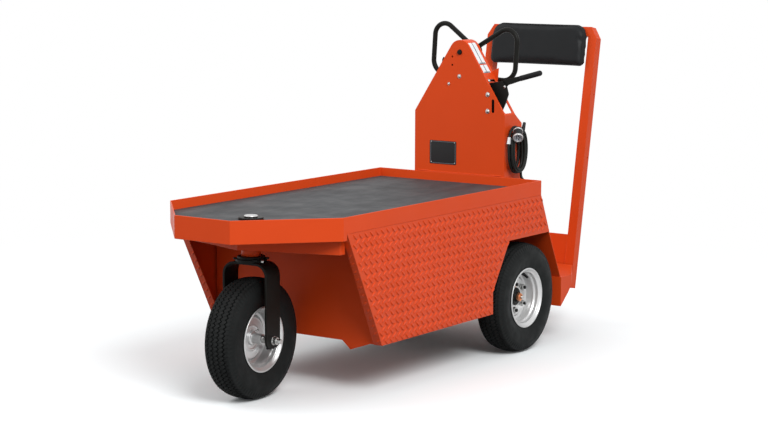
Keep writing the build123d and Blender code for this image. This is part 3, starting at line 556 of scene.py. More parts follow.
def treadRow(look):
    # Across the tread between its edges: (across, drop, zigzag share, rib)
    row = []
    edge = look["treadWidth"] / 2
    halfGroove = look["grooveWidth"] / 2
    start = -edge
    for centre in (*look["grooves"], None):
        end = edge if centre is None else centre - halfGroove
        row.append((start, 0.0, 0.0 if start == -edge else 1.0, True))
        row.append(((start + end) / 2, 0.0, -1.0, True))
        row.append((end, 0.0, 0.0 if centre is None else 1.0, centre is None))
        if centre is not None:
            for foot in (0.9 - halfGroove, halfGroove - 0.9):
                row.append((centre + foot, look["grooveDepth"], 1.0, False))
            start = centre + halfGroove
    return row


def tyreMesh(look):
    # Returns the shape and the faces that touch the road
    zigs = (0, 1, 0, -1)
    side = sidewall(look)
    inner = treadRow(look)[-2:0:-1]
    edge = look["treadWidth"] / 2
    rows = []
    for step, angle in enumerate(angles(look["zigCount"] * len(zigs))):
        phase = step % len(zigs)
        lug = look["lugDepth"] if phase in (1, 2) else 0
        wall = [(across - (lug if cut else 0), radius) for across, radius, cut in side]
        road = []
        for across, drop, share, rib in inner:
            sipe = look["sipeDepth"] if rib and share < 0 and phase == 0 else 0
            radius = look["radius"] - look["crown"] * (across / edge) ** 2 - drop - sipe
            road.append((across + zigs[phase] * look["zigzag"] * share, radius))
        row = wall + road + [(-across, radius) for across, radius in reversed(wall)]
        rows.append([(across, radius * cos(angle), radius * sin(angle)) for across, radius in row])
    ribs = [i for i in range(len(inner) - 1) if inner[i][1] + inner[i + 1][1] == 0]
    worn = [step * len(rows[0]) + len(side) + i for step in range(len(rows)) for i in ribs]
    return joined(rows, True, True), worn


rimLook = {
    # half of the barrel's visible inner side, from the rolled lip in to the well
    "barrel": [(49.4, 107.9), (50.4, 109.4), (51.8, 109.4), (52.6, 108.2), (52.6, 106.6), (50, 105.4),
               (45.1, 100), (42.6, 96), (38.6, 95.7), (31, 94.4), (26, 90.4), (19, 89), (12, 88.8)],
    "gauge": 3.0,
    "disc": [(0, 20), (0, 36), (1.6, 39), (1.6, 43), (0, 46), (0, 66), (0.8, 69), (0, 72), (-5.6, 77),
             (-8, 80), (-6.5, 84), (-4, 89.8)],
    "discGauge": 4.0,
    # the front wheel's hub tube
    "hub": [(-46, 9), (-46, 17), (-9, 17), (-8, 24), (7, 24), (9, 21), (10, 17), (46, 17), (46, 9)],
    "fittingPlace": (5.0, 12.0, 17.0),     # a grease fitting on the front hub
    "fitting": [(0, 3.4), (4, 3.4), (4.2, 5), (7, 5), (7.2, 2.6), (10, 2.4), (11, 3.4), (13.5, 2.8),
                (14.5, 0.01)],
}


def rimMesh(look, hubProfile, segments=96):
    # Barrel, dished disc and, on the front wheel, the hub tube
    near = look["barrel"]
    inside = rounded(near + [(-a, r) for a, r in reversed(near)], 1.4)
    outside = [(a * 0.985, r + look["gauge"]) for a, r in reversed(inside[8:-8])]
    disc = rounded(look["disc"], 1.6) + [(a - look["discGauge"], r) for a, r in reversed(look["disc"])]
    shapes = [turned(inside + outside, segments, closed=True), turned(disc, segments, closed=True)]
    if hubProfile:
        shapes.append(turned(rounded(hubProfile, 1.2)))
    return merged(shapes)


hubLook = {
    "drum": [(-32, 40), (-32, 64), (-26, 67), (-4.3, 67), (-4.3, 20)],
    "washer": [(0.3, 25), (0.3, 33), (4.2, 33), (5.4, 28), (6.4, 20), (13, 17), (14, 15.5), (14, 8.2)],
    # three webs on the washer, as on a pressed retainer: place, ends along the axle and outline
    "webPlace": (5.6, 22, 0),
    "webEnds": (-1.5, 1.2),
    "web": [(-7, -2.2), (7, -2.2), (7, 2.2), (-7, 2.2)],
    "webTurns": (90, 210, 330),
    "shaft": [(6, 6.4), (31.5, 6.4), (33.5, 4.8), (33.5, 0.01)],
    "hubNut": (28.0, 11, 1.4),        # across flats, height, chamfer
    "hubNutFoot": 14.0,
    "crown": [(24.8, 11.4), (27.2, 11.2), (27.4, 7.4), (24.6, 7.3)],
    "studCircle": 51.5,
    "studCount": 5,
    "studTurn": 36,
    "stud": [(12, 6.4), (19, 6.4), (20.2, 5), (20.2, 0.01)],
    "nut": (20.5, 13.0, 1.2),
    "nutFoot": 1.6,
    "valve": [(-2, 8.5), (1, 8.5), (5, 6), (20, 4.8), (24, 4.4), (25, 5), (34, 4.8), (36, 3.6), (36, 0.01)],
    "valveRadius": 92.0,
    "valveFoot": 13.0,
    "valveLean": (0.88, -0.46),       # outward and away from the axle
    # degrees about each axle, from the rear, as the wheels happen to stand
    "rearValve": 78,
    "frontValve": -31,
}


def makeWheel(name, place, body, tyreNode, rimNode, hubProfile, valveAngle):
    shape, worn = tyreMesh(tyreLook)
    tyre = newPiece(name + "TyreTread", moved(shape, place), "tyreRubber", body, 32, tyreNode, "tyre_rubber")
    tyre.data.materials.append(materials["treadRubber"])
    for index in worn:
        tyre.data.polygons[index].material_index = 1
    rim = moved(rimMesh(rimLook, hubProfile), place)
    newPiece(name + "PressedRim", rim, "rimSilver", body, 35, rimNode, "rim_steel")
    # A rubber valve stem with its cap, slanting out of the barrel
    look = hubLook
    radial = Vector((0, cos(radians(valveAngle)), sin(radians(valveAngle))))
    out, inward = look["valveLean"]
    foot = Vector((look["valveFoot"], 0, 0)) + radial * look["valveRadius"]
    turn = standing(foot, Vector((out, 0, 0)) + radial * inward, 1)
    valve = turned(rounded(look["valve"], 1.0), 20)
    newPiece(name + "ValveStem", moved(valve, place @ turn), "blackPlastic", body)


def makeFrontFitting(place):
    along, y, z = rimLook["fittingPlace"]
    turn = standing((along, y, z), (0.75, y / 25, z / 25), 1)
    fitting = turned(rounded(rimLook["fitting"], 0.4), 20)
    newPiece("frontGreaseFitting", moved(fitting, place @ turn), "zincSteel", "front_wheel")


def makeRearHub(name, place, body, hubNode):
    look = hubLook
    shapes = [turned(rounded(look["drum"], 1.5), 64), turned(rounded(look["washer"], 1.0), 64)]
    web = joined([[(along, y, z) for y, z in look["web"]] for along in look["webEnds"]])
    for turn in look["webTurns"]:
        matrix = Matrix.Rotation(radians(turn), 4, "X") @ Matrix.Translation(look["webPlace"])
        shapes.append(moved(web, matrix))
    newPiece(name + "HubDrum", moved(merged(shapes), place), "blackPaint", body,
             replaced=hubNode, slot="black_paint")
    nut = moved(hexNut(*look["hubNut"]), Matrix.Translation((look["hubNutFoot"], 0, 0)))
    crown = turned(rounded(look["crown"], 0.4), 36)
    newPiece(name + "HubNut", moved(merged([nut, crown]), place), "copperNut", body, 30)
    nuts, studs = [turned(rounded(look["shaft"], 1.0), 32)], []
    for angle in angles(look["studCount"], radians(look["studTurn"])):
        y, z = look["studCircle"] * cos(angle), look["studCircle"] * sin(angle)
        nuts.append(moved(hexNut(*look["nut"]), Matrix.Translation((look["nutFoot"], y, z))))
        studs.append(moved(turned(rounded(look["stud"], 0.5), 16), Matrix.Translation((0, y, z))))
    newPiece(name + "WheelNuts", moved(merged(nuts), place), "zincSteel", body, 30)
    newPiece(name + "WheelStuds", moved(merged(studs), place), "blackPaint", body)


def jointFacts(name):
    for joint in frame["record"]["behaviour"]["joints"]:
        if joint["name"] == name:
            return Vector(joint["pos_m"]), Vector(joint["axis"]).normalized()


axle = jointFacts("rear_left_roll")[1]
for name, side, outward in (("rearLeft", "left", axle), ("rearRight", "right", -axle)):
    place = standing(jointFacts("rear_%s_roll" % side)[0], outward)
    body = "rear_wheel_" + side
    makeWheel(name, place, body, "rear_tyre_" + side, "rear_rim_" + side, None, hubLook["rearValve"])
    makeRearHub(name, place, body, "rear_hub_" + side)
place = standing(*jointFacts("front_wheel_roll"))
makeWheel("front", place, "front_wheel", "front_tyre", "front_rim", rimLook["hub"], hubLook["frontValve"])
makeFrontFitting(place)
print("wheels made")


# Diamond plate: rows of lens-shaped lugs that turn one way and the other

plateLook = {
    "pitch": 31.5,        # between lugs that turn the same way
    "length": 27.5,
    "width": 7.8,
    "height": 3.2,
    # columns: share of the width and of the height, from the foot up to the ridge
    "levels": [(1.0, 0.0), (0.76, 0.74), (0.30, 1.0)],
    "steps": 8,
    "turn": 42,           # degrees from the level
    # how much of a lug's length has to find the plate
    "margin": 0.88,
    "stripMargin": 0.62,
    "start": (0.012, 0.010),
    "stripFacing": (0, -0.89, -0.46),
    "stripStart": 0.006,
    "stripSize": (0.02, 0.47),    # past the panel's width, and its height
}


def lugMesh(look):
    # One lens-shaped lug, flat foot at height 0, ridge along its length
    rows = []
    levels = [(*level, 1) for level in look["levels"]]
    for share, height, side in levels + [(share, height, -1) for share, height, _ in reversed(levels)]:
        row = []
        for step in range(look["steps"] + 1):
            t = -1 + 2 * step / look["steps"]
            row.append((look["length"] / 2 * t * (0.90 + 0.10 * share),
                        side * look["width"] / 2 * (1 - t * t) * share,
                        look["height"] * height * (1 - 0.75 * abs(t) ** 3)))
        rows.append(row)
    return joined(rows, ring=False)


def layLugs(name, nodeName, origin, along, up, size, margin):
    # Lays lugs on a lattice wherever all of a lug finds the plate under it
    look = plateLook
    normal = along.cross(up).normalized()
    surface = surfaceOf(nodes[nodeName].data)
    verts, faces = lugMesh(look)
    pitch = look["pitch"] * mm
    reach = look["length"] / 2 * margin * mm
    lift, slack, level = 0.02, 0.0015, 0.9
    lugs = []
    for row in range(int(size[1] / pitch * 2) + 2):
        odd = row % 2
        angle = radians(look["turn"]) * (1 if odd else -1)
        axis = along * cos(angle) + up * sin(angle)
        across = normal.cross(axis)
        for column in range(int(size[0] / pitch) + 2):
            centre = origin + along * (column + odd / 2) * pitch + up * row * pitch / 2
            hits = []
            for spot in (centre + axis * reach, centre - axis * reach, centre):
                place, facing, _, depth = surface.ray_cast(spot + normal * lift, -normal, lift + mm)
                hits.append(place is not None and depth > lift - slack and facing.dot(normal) > level)
            if all(hits):
                spots = [centre + (axis * x + across * y + normal * z) * mm for x, y, z in verts]
                lugs.append((spots, faces))
    print(name, "lugs:", len(lugs))
    newPiece(name, merged(lugs), "diamondPaint", smoothAngle=60, slot="diamond_plate")


def plateFrame(nodeName, facing):
    # The flat face of a node that looks most nearly along facing: a point on it and its normal
    best = None
    for face in nodes[nodeName].data.polygons:
        if face.normal.dot(facing) > 0.97 and (best is None or face.area > best.area):
            best = face
    return best.center.copy(), best.normal.copy()


def dressPanel(name, side, nodeName):
    look = plateLook
    low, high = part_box(nodeName)
    point, normal = plateFrame(nodeName, Vector((side, 0, 0)))
    along = Vector((0, side, 0))
    up = normal.cross(along).normalized()
    x = point.x - normal.z / normal.x * (low.z - point.z)
    ahead, rise = look["start"]
    origin = Vector((x, low.y if side > 0 else high.y, low.z)) + along * ahead + up * rise
    layLugs(name + "PanelLugs", nodeName, origin, along, up, (high.y - low.y, high.z - low.z), look["margin"])
    # The folded strip along the panel's sloping front edge
    point, normal = plateFrame(nodeName, Vector(look["stripFacing"]))
    along = Vector((1, 0, 0))
    up = normal.cross(along).normalized()
    drop = (point.z - low.z) / up.z
    origin = Vector((low.x, point.y, point.z)) - up * drop + along * look["stripStart"]
    past, height = look["stripSize"]
    size = (high.x - low.x + past, height)
    layLugs(name + "StripLugs", nodeName, origin, along, up, size, look["stripMargin"])


dressPanel("left", 1, "side_panel_left")
dressPanel("right", -1, "side_panel_right")
print("diamond plate made")


# Control tower: bolts, plate, labels and small metal parts

towerLook = {
    # columns: x, z, head radius, all on the front sheet
    "bolts": [(-1.0, 1011.0, 6.4), (-48.0, 981.0, 4.8), (127.0, 947.0, 7.4), (127.0, 884.0, 7.4)],
    "boltRise": 4.6,
    "plate": (-133.0, -12.0, 670.0, 760.0),      # left, right, foot and top
    "plateCorner": 4.0,
    "plateGauge": 1.0,
    "border": (5.0, 1.1, 0.15),                  # how far in, width and rise
    "rivet": (9.0, 2.2, 1.4),                    # how far in, head radius and rise
    # columns: start and end down the shoulder from the top bend, front and rear behind the front sheet
    "labels": [(-14.0, 79.5, 9.0, 57.0), (84.0, 119.0, 9.0, 57.0)],
    "labelLine": 5.6,
    "labelRows": 24,
    "labelInset": 3.0,       # of the bar at a label's foot
    # how far off the metal
    "labelLift": 0.25,
    "lineLift": 0.45,
    "shoulderStart": (39.4, 1126.8),
    "shoulderBolt": (152.0, 16.0, 5.6),          # down the shoulder, behind the front sheet, head radius
    "tab": [(92, 1026), (130, 1044), (131, 1040), (127, 996), (122, 996), (109, 1010)],
    "tabBehind": 69.0,
    "tabGauge": 4.0,
    "clipPlace": (82.0, 22.0),
    "clip": [(0, 0), (9, 0), (13, -8), (13, -17)],   # out from the shoulder and down along it
    "clipRadius": 3.0,
}

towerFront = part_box("tower_shell")[0].y
shoulderSpot, shoulderOut = plateFrame("tower_shell", Vector((0.856, 0, 0.517)))
shoulderDown = Vector((shoulderOut.z, 0, -shoulderOut.x))


def shoulderPoint(down, behind, out=0.0, side=1):
    # A point on the tower's sloping shoulder, in metres, from sizes in mm
    x, z = towerLook["shoulderStart"]
    start = Vector((x * mm, shoulderSpot.y, z * mm))
    start += shoulderOut * (shoulderSpot - start).dot(shoulderOut)
    spot = start + shoulderDown * down * mm + shoulderOut * out * mm
    return Vector((side * spot.x, towerFront + behind * mm, spot.z))


def roundedSheet(corners, radius, thick):
    points = []
    for i, corner in enumerate(corners):
        points += bend(corners[i - 1], corner, corners[(i + 1) % len(corners)], radius, 5)
    return prism(points, thick)


def frameSheet(corners, width, thick):
    # A border of that width just inside the corners
    middle = sum(corners, Vector()) / len(corners)
    bands = []
    for i, start in enumerate(corners):
        end = corners[(i + 1) % len(corners)]
        inward = thick.cross(end - start).normalized()
        if inward.dot(middle - start) < 0:
            inward = -inward
        bands.append(prism([start, end, end + inward * width, start + inward * width], thick))
    return merged(bands)


def inset(corners, by):
    middle = sum(corners, Vector()) / len(corners)
    return [corner + (middle - corner).normalized() * by for corner in corners]


def wrappedSheet(start, end, near, far, lift, surface):
    # A thin sheet that follows the shoulder and the bend above it, lift mm off the metal
    count = towerLook["labelRows"]
    rows = []
    for i in range(count + 1):
        edges = []
        for behind in (near, far):
            outside = shoulderPoint(start + (end - start) * i / count, behind, 40)
            spot, normal, _, _ = surface.ray_cast(outside, -shoulderOut)
            edges.append((spot + normal * lift * mm, spot - normal * 0.1 * mm))
        (nearTop, nearFoot), (farTop, farFoot) = edges
        rows.append([nearTop, farTop, farFoot, nearFoot])
    return joined(rows)


def dressTower():
    look = towerLook
    front = Vector((0, -1, 0))
    heads = [boltHead(radius, look["boltRise"], (x * mm, towerFront, z * mm), front)
             for x, z, radius in look["bolts"]]
    down, behind, radius = look["shoulderBolt"]
    heads.append(boltHead(radius, look["boltRise"], shoulderPoint(down, behind), shoulderOut))
    newPiece("towerBolts", merged(heads), "zincSteel", slot="zinc_steel")

    left, right, low, high = [value * mm for value in look["plate"]]
    corners = [Vector((x, towerFront, z))
               for x, z in ((left, low), (right, low), (right, high), (left, high))]
    rise = front * look["plateGauge"] * mm
    newPiece("namePlate", roundedSheet(corners, look["plateCorner"] * mm, rise), "plateBlack", smoothAngle=30)
    by, width, thick = [value * mm for value in look["border"]]
    border = frameSheet([corner + rise for corner in inset(corners, by)], width, front * thick)
    newPiece("plateBorder", border, "labelGrey", smoothAngle=0)
    by, radius, height = look["rivet"]
    rivets = [boltHead(radius, height, corner + rise * 0.6, front, 16) for corner in inset(corners, by * mm)]
    newPiece("plateRivets", merged(rivets), "zincSteel")

    # Each label has a grey line down its middle and a bar across its foot
    whites, greys = [], []
    surface = surfaceOf(nodes["tower_shell"].data)
    line = look["labelLine"]
    lift, by = look["lineLift"], look["labelInset"]
    for start, end, near, far in look["labels"]:
        middle = (near + far) / 2
        whites.append(wrappedSheet(start, end, near, far, look["labelLift"], surface))
        greys.append(wrappedSheet(start, end, middle - line / 2, middle + line / 2, lift, surface))
        greys.append(wrappedSheet(end - line, end, near + by, far - by, lift, surface))
    newPiece("shoulderLabels", merged(whites), "labelWhite", smoothAngle=0)
    newPiece("shoulderLabelLines", merged(greys), "labelGrey", smoothAngle=0)

    y = towerFront + look["tabBehind"] * mm
    tab = slab(look["tab"], y, y + look["tabGauge"] * mm)
    bevelled(newPiece("shoulderTab", tab, "orangePaint"), 0.8)
    # A bent wire clip on the far shoulder
    start = shoulderPoint(*look["clipPlace"], side=-1)
    farOut = Vector((-shoulderOut.x, 0, shoulderOut.z))
    farDown = Vector((-shoulderDown.x, 0, shoulderDown.z))
    spots = [start + farOut * out * mm + farDown * down * mm for out, down in look["clip"]]
    newPiece("farShoulderClip", tube(spots, look["clipRadius"] * mm), "blackPaint")


dressTower()
print("tower dressed")


# Parking brake: flat arm, ribbed grip and the bracket's bolt

brakeLook = {
    # the arm's outline from its tang at the pivot out into the grip: (x, z)
    "arm": [(163.5, 968.5), (170, 966), (176.5, 968.5), (182, 975), (190, 983.5), (208, 989),
            (243.5, 1001.2), (255.2, 1005.8), (250.9, 1021.2), (238.5, 1019), (172.8, 1003.6), (164, 997),
            (160.5, 985), (161, 975)],
    "grip": [(241.0, 1010.1), (334.0, 1036.0)],
    "gripRadius": 10.4,
    "tipLength": 9.0,
    "ribRadius": 9.2,
    "ribPitch": 6.5,
    "ribStart": 5.0,
    "ribEnd": 16.0,       # before the tip
    "bolt": (182.0, 977.0),
    "boltHead": (4.6, 3.4),
}


def makeBrake():
    look = brakeLook
    low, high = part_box("brake_lever")
    arm = newPiece("brakeArm", slab(look["arm"], low.y, high.y), "blackPaint", "brake",
                   replaced="brake_lever", slot="black_paint")
    bevelled(arm, 0.9)
    low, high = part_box("brake_grip")
    start, end = [Vector((x * mm, (low.y + high.y) / 2, z * mm)) for x, z in look["grip"]]
    length = (end - start).length / mm
    radius, rib = look["gripRadius"], look["ribRadius"]
    profile = [(0, radius - 2), (0, radius - 0.6), (1.5, radius)]
    spot = look["ribStart"]
    while spot < length - look["ribEnd"]:
        profile += [(spot, radius), (spot + 0.7, rib), (spot + 1.9, rib), (spot + 2.6, radius)]
        spot += look["ribPitch"]
    for step in range(7):
        angle = step / 6 * pi / 2
        along = length - look["tipLength"] * (1 - sin(angle))
        profile.append((along, max(radius * cos(angle) ** 0.7, 0.01)))
    turnedPiece("brakeGripRibs", profile, start, end - start, "gripRubber", "brake", 32,
                replaced="brake_grip", slot="grip_rubber")
    x, z = look["bolt"]
    bracket = surfaceOf(nodes["brake_bracket"].data)
    found = bracket.ray_cast(Vector((x * mm, 0, z * mm)), Vector((0, 1, 0)))[0]
    newPiece("bracketBolt", boltHead(*look["boltHead"], found, (0, -1, 0)), "zincSteel")


makeBrake()
print("brake made")


# Fork: bearing lugs, grease nipple, and the pale cap in the deck ring

forkLook = {
    "lugAngles": (38, 142, 218, 322),
    # out from the stem and across
    "lug": [(38, -11.7), (57, -9), (60, -4.5), (60, 4.5), (57, 9), (38, 11.7)],
    "lugFoot": 471.3,
    "lugGauge": 6.0,
    "nipplePlace": (60.0, -18.0, 471.0),     # from the stem
    "nippleAim": (0.8, -0.6, 0.25),
    "nipple": [(-4, 3.2), (2, 3.2), (2.2, 4.6), (5, 4.6), (5.2, 2.4), (8, 2.2), (8.6, 3), (10.5, 2.6),
               (11.2, 0.01)],
    "cap": [(-2, 23.5), (0.3, 23), (1.4, 21), (1.5, 9), (0.6, 7), (0.5, 0.01)],
}


def dressFork():
    look = forkLook
    stem = jointFacts("fork_steer")[0]
    lugs = []
    for turn in look["lugAngles"]:
        matrix = Matrix.Translation((stem.x, stem.y, 0)) @ Matrix.Rotation(radians(turn), 4, "Z")
        outline = [matrix @ (Vector((out, across, look["lugFoot"])) * mm) for out, across in look["lug"]]
        lugs.append(prism(outline, Vector((0, 0, look["lugGauge"] * mm))))
    bevelled(newPiece("bearingLugs", merged(lugs), "blackPaint", "fork"), 1.0)
    x, y, z = look["nipplePlace"]
    foot = (stem.x + x * mm, stem.y + y * mm, z * mm)
    nipple = rounded(look["nipple"], 0.4)
    turnedPiece("greaseNipple", nipple, foot, look["nippleAim"], "zincSteel", "fork", 20)
    top = (stem.x, stem.y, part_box("fork_stem")[1].z)
    turnedPiece("stemCapDisc", rounded(look["cap"], 0.6), top, (0, 0, 1), "rimSilver", "fork", 40)


dressFork()
print("fork dressed")


# Charging lead: one spline from the gland, round the hook and into its plug

leadLook = {
    "radius": 5.0,
    "start": (0.2253, 0.53234, 0.575),
    # on from the start as the part has it, then the coil's turns
    "route": [(0.2357, 0.53234, 0.5750), (0.2465, 0.53234, 0.5819), (0.2520, 0.53234, 0.5936),
              (0.2503, 0.53234, 0.6063), (0.2420, 0.53234, 0.6161), (0.2289, 0.53234, 0.6230),
              (0.2203, 0.53234, 0.6350), (0.2203, 0.5330, 0.668), (0.2175, 0.536, 0.700)],
    "middleY": 0.49034,
    # columns: how far out the turn lies, half its width, half its height, how high its middle is
    "turns": [
        (0.2110, 0.0500, 0.0875, 0.7395),
        (0.2300, 0.0490, 0.0860, 0.7395),
        (0.2410, 0.0495, 0.0820, 0.7390),
        (0.2400, 0.0385, 0.0700, 0.7370),
        (0.2290, 0.0375, 0.0670, 0.7350),
        (0.2110, 0.0385, 0.0700, 0.7370),
    ],
    "pointsPerTurn": 16,
    "tail": [(0.2135, 0.522, 0.770), (0.2195, 0.5073, 0.8067), (0.2230, 0.5017, 0.8180),
             (0.2291, 0.4920, 0.8244), (0.2360, 0.4809, 0.8240), (0.2389, 0.4762, 0.8206)],
    "sleeveNear": (0.2225, 0.441, 0.775),
    "sleeve": [(-13, 5.2), (-13, 5.9), (-9, 6.2), (8, 7.4), (13, 8.4), (13, 5.2)],
    "relief": [(-1, 8.4), (1, 8.6), (2.6, 7.8), (3.2, 6.9), (4.4, 6.9), (5, 7.4), (6.2, 7.2), (6.8, 6.3),
               (8, 6.2), (8.6, 6.8), (9.6, 6.5), (10.4, 5.6), (10.4, 5.0)],
    "hookEnd": [(249.3, 490.3, 798.7), (249.3, 506.3, 842.7)],    # in mm
}

plugLook = {
    "axis": (0.45, -0.72, -0.53),
    # a boot with ribs, then the black body
    "body": [(-2, 5.2), (-2, 6.4), (1, 8), (2, 9), (2.6, 7.7), (3.6, 7.7), (4.2, 9.4), (5.4, 11.2), (6, 9.9),
             (7, 9.9), (7.6, 11.6), (8.8, 13.4), (9.4, 12.1), (10.4, 12.1), (11, 13.8), (12.4, 16.4),
             (13.6, 17.4), (31, 17.4), (34, 18), (48, 18), (48.4, 16.6), (57, 16.6), (57, 14.8), (54, 14.6),
             (54, 0.01)],
    "rings": [(14.0, 19.0), (50.4, 58.0)],       # start and end of each silver ring
    "ringStart": [(0, 17.3), (0, 18.7), (0.6, 19)],
    "ringEnd": [(-0.6, 19), (0, 18.5), (0, 15.2), (-1, 14.6), (-3, 14.6), (-3.2, 16.6)],
    "face": [(54, 14.7), (55.4, 14.5), (55.6, 9.8), (54.6, 9.4), (54.7, 0.01)],
    "socket": [(53, 2.3), (55.9, 2.3), (56.1, 1.9), (55.2, 1.5), (54.8, 0.01)],
    "socketCount": 5,
    "socketTurn": 0.3,
    "socketCircle": 7.0,
}


def turnPoint(index, angle):
    # A point of the coil: an oval with round ends that hangs on the hook
    turn = min(int(index), len(leadLook["turns"]) - 2)
    share = index - turn
    first, second = leadLook["turns"][turn], leadLook["turns"][turn + 1]
    x, half, height, middle = [a + (b - a) * share for a, b in zip(first, second)]
    s = sin(angle)
    y = leadLook["middleY"] + half * cos(angle)
    z = middle + half * s + (height - half) * (1.5 * s - 0.5 * s ** 3)
    return x, y, z


def leadPoints():
    perTurn = leadLook["pointsPerTurn"]
    total = (len(leadLook["turns"]) - 1) * perTurn
    coil = [turnPoint(step / perTurn, 2 * pi * step / perTurn) for step in range(total + 1)]
    return [leadLook["start"], *leadLook["route"], *coil, *leadLook["tail"]]


def makeLead():
    curve = bpy.data.curves.new("chargingLead", "CURVE")
    curve.dimensions = "3D"
    curve.bevel_depth = leadLook["radius"] * mm
    curve.bevel_resolution = 3
    curve.resolution_u = 6
    curve.use_fill_caps = True
    points = leadPoints()
    spline = curve.splines.new("NURBS")
    spline.points.add(len(points) - 1)
    for spot, point in zip(spline.points, points):
        spot.co = (*point, 1.0)
    spline.order_u = 3
    spline.use_endpoint_u = True
    lead = newObject("chargingLead", curve)
    curve.materials.append(materials["cordJacket"])
    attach(lead, "chassis")
    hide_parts("cord_tube", "cord_coil")
    return lead


def lineOf(lead):
    # The points of the lead's own centre line, from a copy with no thickness
    bare = lead.data.copy()
    bare.bevel_depth = 0
    probe = newObject("leadLine", bare)
    mesh = bpy.data.meshes.new_from_object(probe)
    line = [v.co.copy() for v in mesh.vertices]
    bpy.data.objects.remove(probe)
    bpy.data.meshes.remove(mesh)
    return line


def makePlug():
    look = plugLook
    axis = Vector(look["axis"]).normalized()
    tail = Vector(leadLook["tail"][-1])
    place = standing(tail, axis)
    body = turnedPiece("plugBody", look["body"], tail, axis, "blackPlastic",
                       replaced="cord_plug", slot="cord_rubber")
    rings = []
    for start, end in look["rings"]:
        ring = [(start + a, r) for a, r in look["ringStart"]] + [(end + a, r) for a, r in look["ringEnd"]]
        rings.append(turned(ring, closed=True))
    silver = newPiece("plugRings", moved(merged(rings), place), "rimSilver")
    face = turnedPiece("plugFaceDisc", rounded(look["face"], 0.4), tail, axis, "plugFace", segments=40)
    holes = []
    for angle in angles(look["socketCount"], look["socketTurn"]):
        spot = (0, look["socketCircle"] * cos(angle), look["socketCircle"] * sin(angle))
        holes.append(moved(turned(look["socket"], 14), Matrix.Translation(spot)))
    sockets = newPiece("plugSockets", moved(merged(holes), place), "blackPlastic")
    return [body, silver, face, sockets]


def makeLeadSleeves(line):
    # A silver sleeve on the coil's front strand, and the gland's tapered relief
    look = leadLook
    near = Vector(look["sleeveNear"])
    front = min(range(len(line)), key=lambda i: (line[i] - near).length)
    along = (line[front + 2] - line[front - 2]).normalized()
    if along.z > 0:
        along = -along
    sleeve = turnedPiece("leadSleeve", rounded(look["sleeve"], 0.5), line[front], along,
                         "labelWhite", segments=28)
    relief = turnedPiece("leadRelief", rounded(look["relief"], 0.4), look["start"], (1, 0, 0),
                         "blackPlastic", segments=32)
    # A rubber tip on the hook's rising end
    foot, tip = [Vector(spot) * mm for spot in look["hookEnd"]]
    reach = (tip - foot).length / mm
    cap = [(4, 4.0), (4, 7.4), (6, 8.0), (reach - 2, 5.9), (reach + 1.6, 4.4), (reach + 2, 0.01)]
    turnedPiece("hookTip", rounded(cap, 1.6), foot, tip - foot, "blackPlastic", segments=28)
    return [sleeve, relief]


lead = makeLead()
leadLine = lineOf(lead)
plugPieces = makePlug()
plugPieces + makeLeadSleeves(leadLine)
print("lead and plug made")


# Back pad: foam under black vinyl, swollen by a short cloth simulation

padLook = {
    "size": (434.0, 166.0, 30.0),
    "lean": 10.1,          # degrees
    "sag": -3.0,
    "corners": (50.0, 50.0, 25.0, 20.0),   # upper left, upper right, lower right, lower left
    # from the board out to the crown: depth and how far in
    "layers": [(-15, 1.0), (-13, 0.2), (-2, 1.5), (3, 2.8), (7, 6.5), (9, 12), (10, 20)],
    "voxel": 6.0,
    "pressure": 4.0,
    "cap": 8.0,            # the farthest that the cloth may swell
    "frames": 20,
    "carry": 1.6,          # how soon, from the board out, a point follows the cloth in full
    "pressBack": 0.7,      # the share of what swells past the crown that is taken off
    "seamRadius": 1.6,
    "seamBehind": 11.0,    # behind the crown
    "fill": 0.85,
}


def padFrame():
    # The pad's middle and its axes: across, up the lean and out towards the driver
    low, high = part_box("back_pad")
    lean = radians(padLook["lean"])
    up = Vector((0, sin(lean), cos(lean)))
    out = Vector((0, -cos(lean), sin(lean)))
    return (low + high) / 2 + up * padLook["sag"] * mm, Vector((1, 0, 0)), up, out


def padOutline(halfWidth, halfHeight, shrink, steps=10):
    # Rounded oblong, counterclockwise: (across, up)
    points = []
    places = ((1, 1, 0), (-1, 1, 90), (-1, -1, 180), (1, -1, 270))
    for (sx, sy, start), corner in zip(places, padLook["corners"]):
        corner = max(corner - shrink, 6)
        for step in range(steps + 1):
            angle = radians(start + 90 * step / steps)
            points.append((sx * (halfWidth - corner) + corner * cos(angle),
                           sy * (halfHeight - corner) + corner * sin(angle)))
    return points


def padFoam():
    middle, across, up, out = padFrame()
    width, height, _ = padLook["size"]
    rows = [[middle + (across * a + up * b + out * level) * mm
             for a, b in padOutline(width / 2 - shrink, height / 2 - shrink, shrink)]
            for level, shrink in padLook["layers"]]
    return newPiece("backPadVinyl", joined(rows), "padVinyl", smoothAngle=0,
                    replaced="back_pad", slot="black_vinyl")


def settle(piece, look):
    # Runs the cloth, then keeps its result within the cap and off the board
    middle, _, _, out = padFrame()
    cloth = piece.modifiers.new("swell", "CLOTH")
    cloth.settings.use_pressure = True
    cloth.settings.uniform_pressure_force = look["pressure"]
    cloth.settings.quality = 5
    cloth.settings.effector_weights.gravity = 0
    scene = bpy.context.scene
    for number in range(1, look["frames"] + 1):
        scene.frame_set(number)
    evaluated = piece.evaluated_get(bpy.context.evaluated_depsgraph_get())
    swollen = [v.co.copy() for v in evaluated.data.vertices]
    piece.modifiers.remove(cloth)
    scene.frame_set(1)
    front = look["size"][2] / 2 * mm
    cap = look["cap"] * mm
    for vertex, target in zip(piece.data.vertices, swollen):
        step = target - vertex.co
        share = min(max(((vertex.co - middle).dot(out) + front) / (2 * front), 0), 1)
        if step.length > cap:
            step *= cap / step.length
        spot = vertex.co + step * min(1, share * look["carry"])
        extra = (spot - middle).dot(out) - front
        if extra > 0:
            spot -= out * extra * look["pressBack"]
        vertex.co = spot


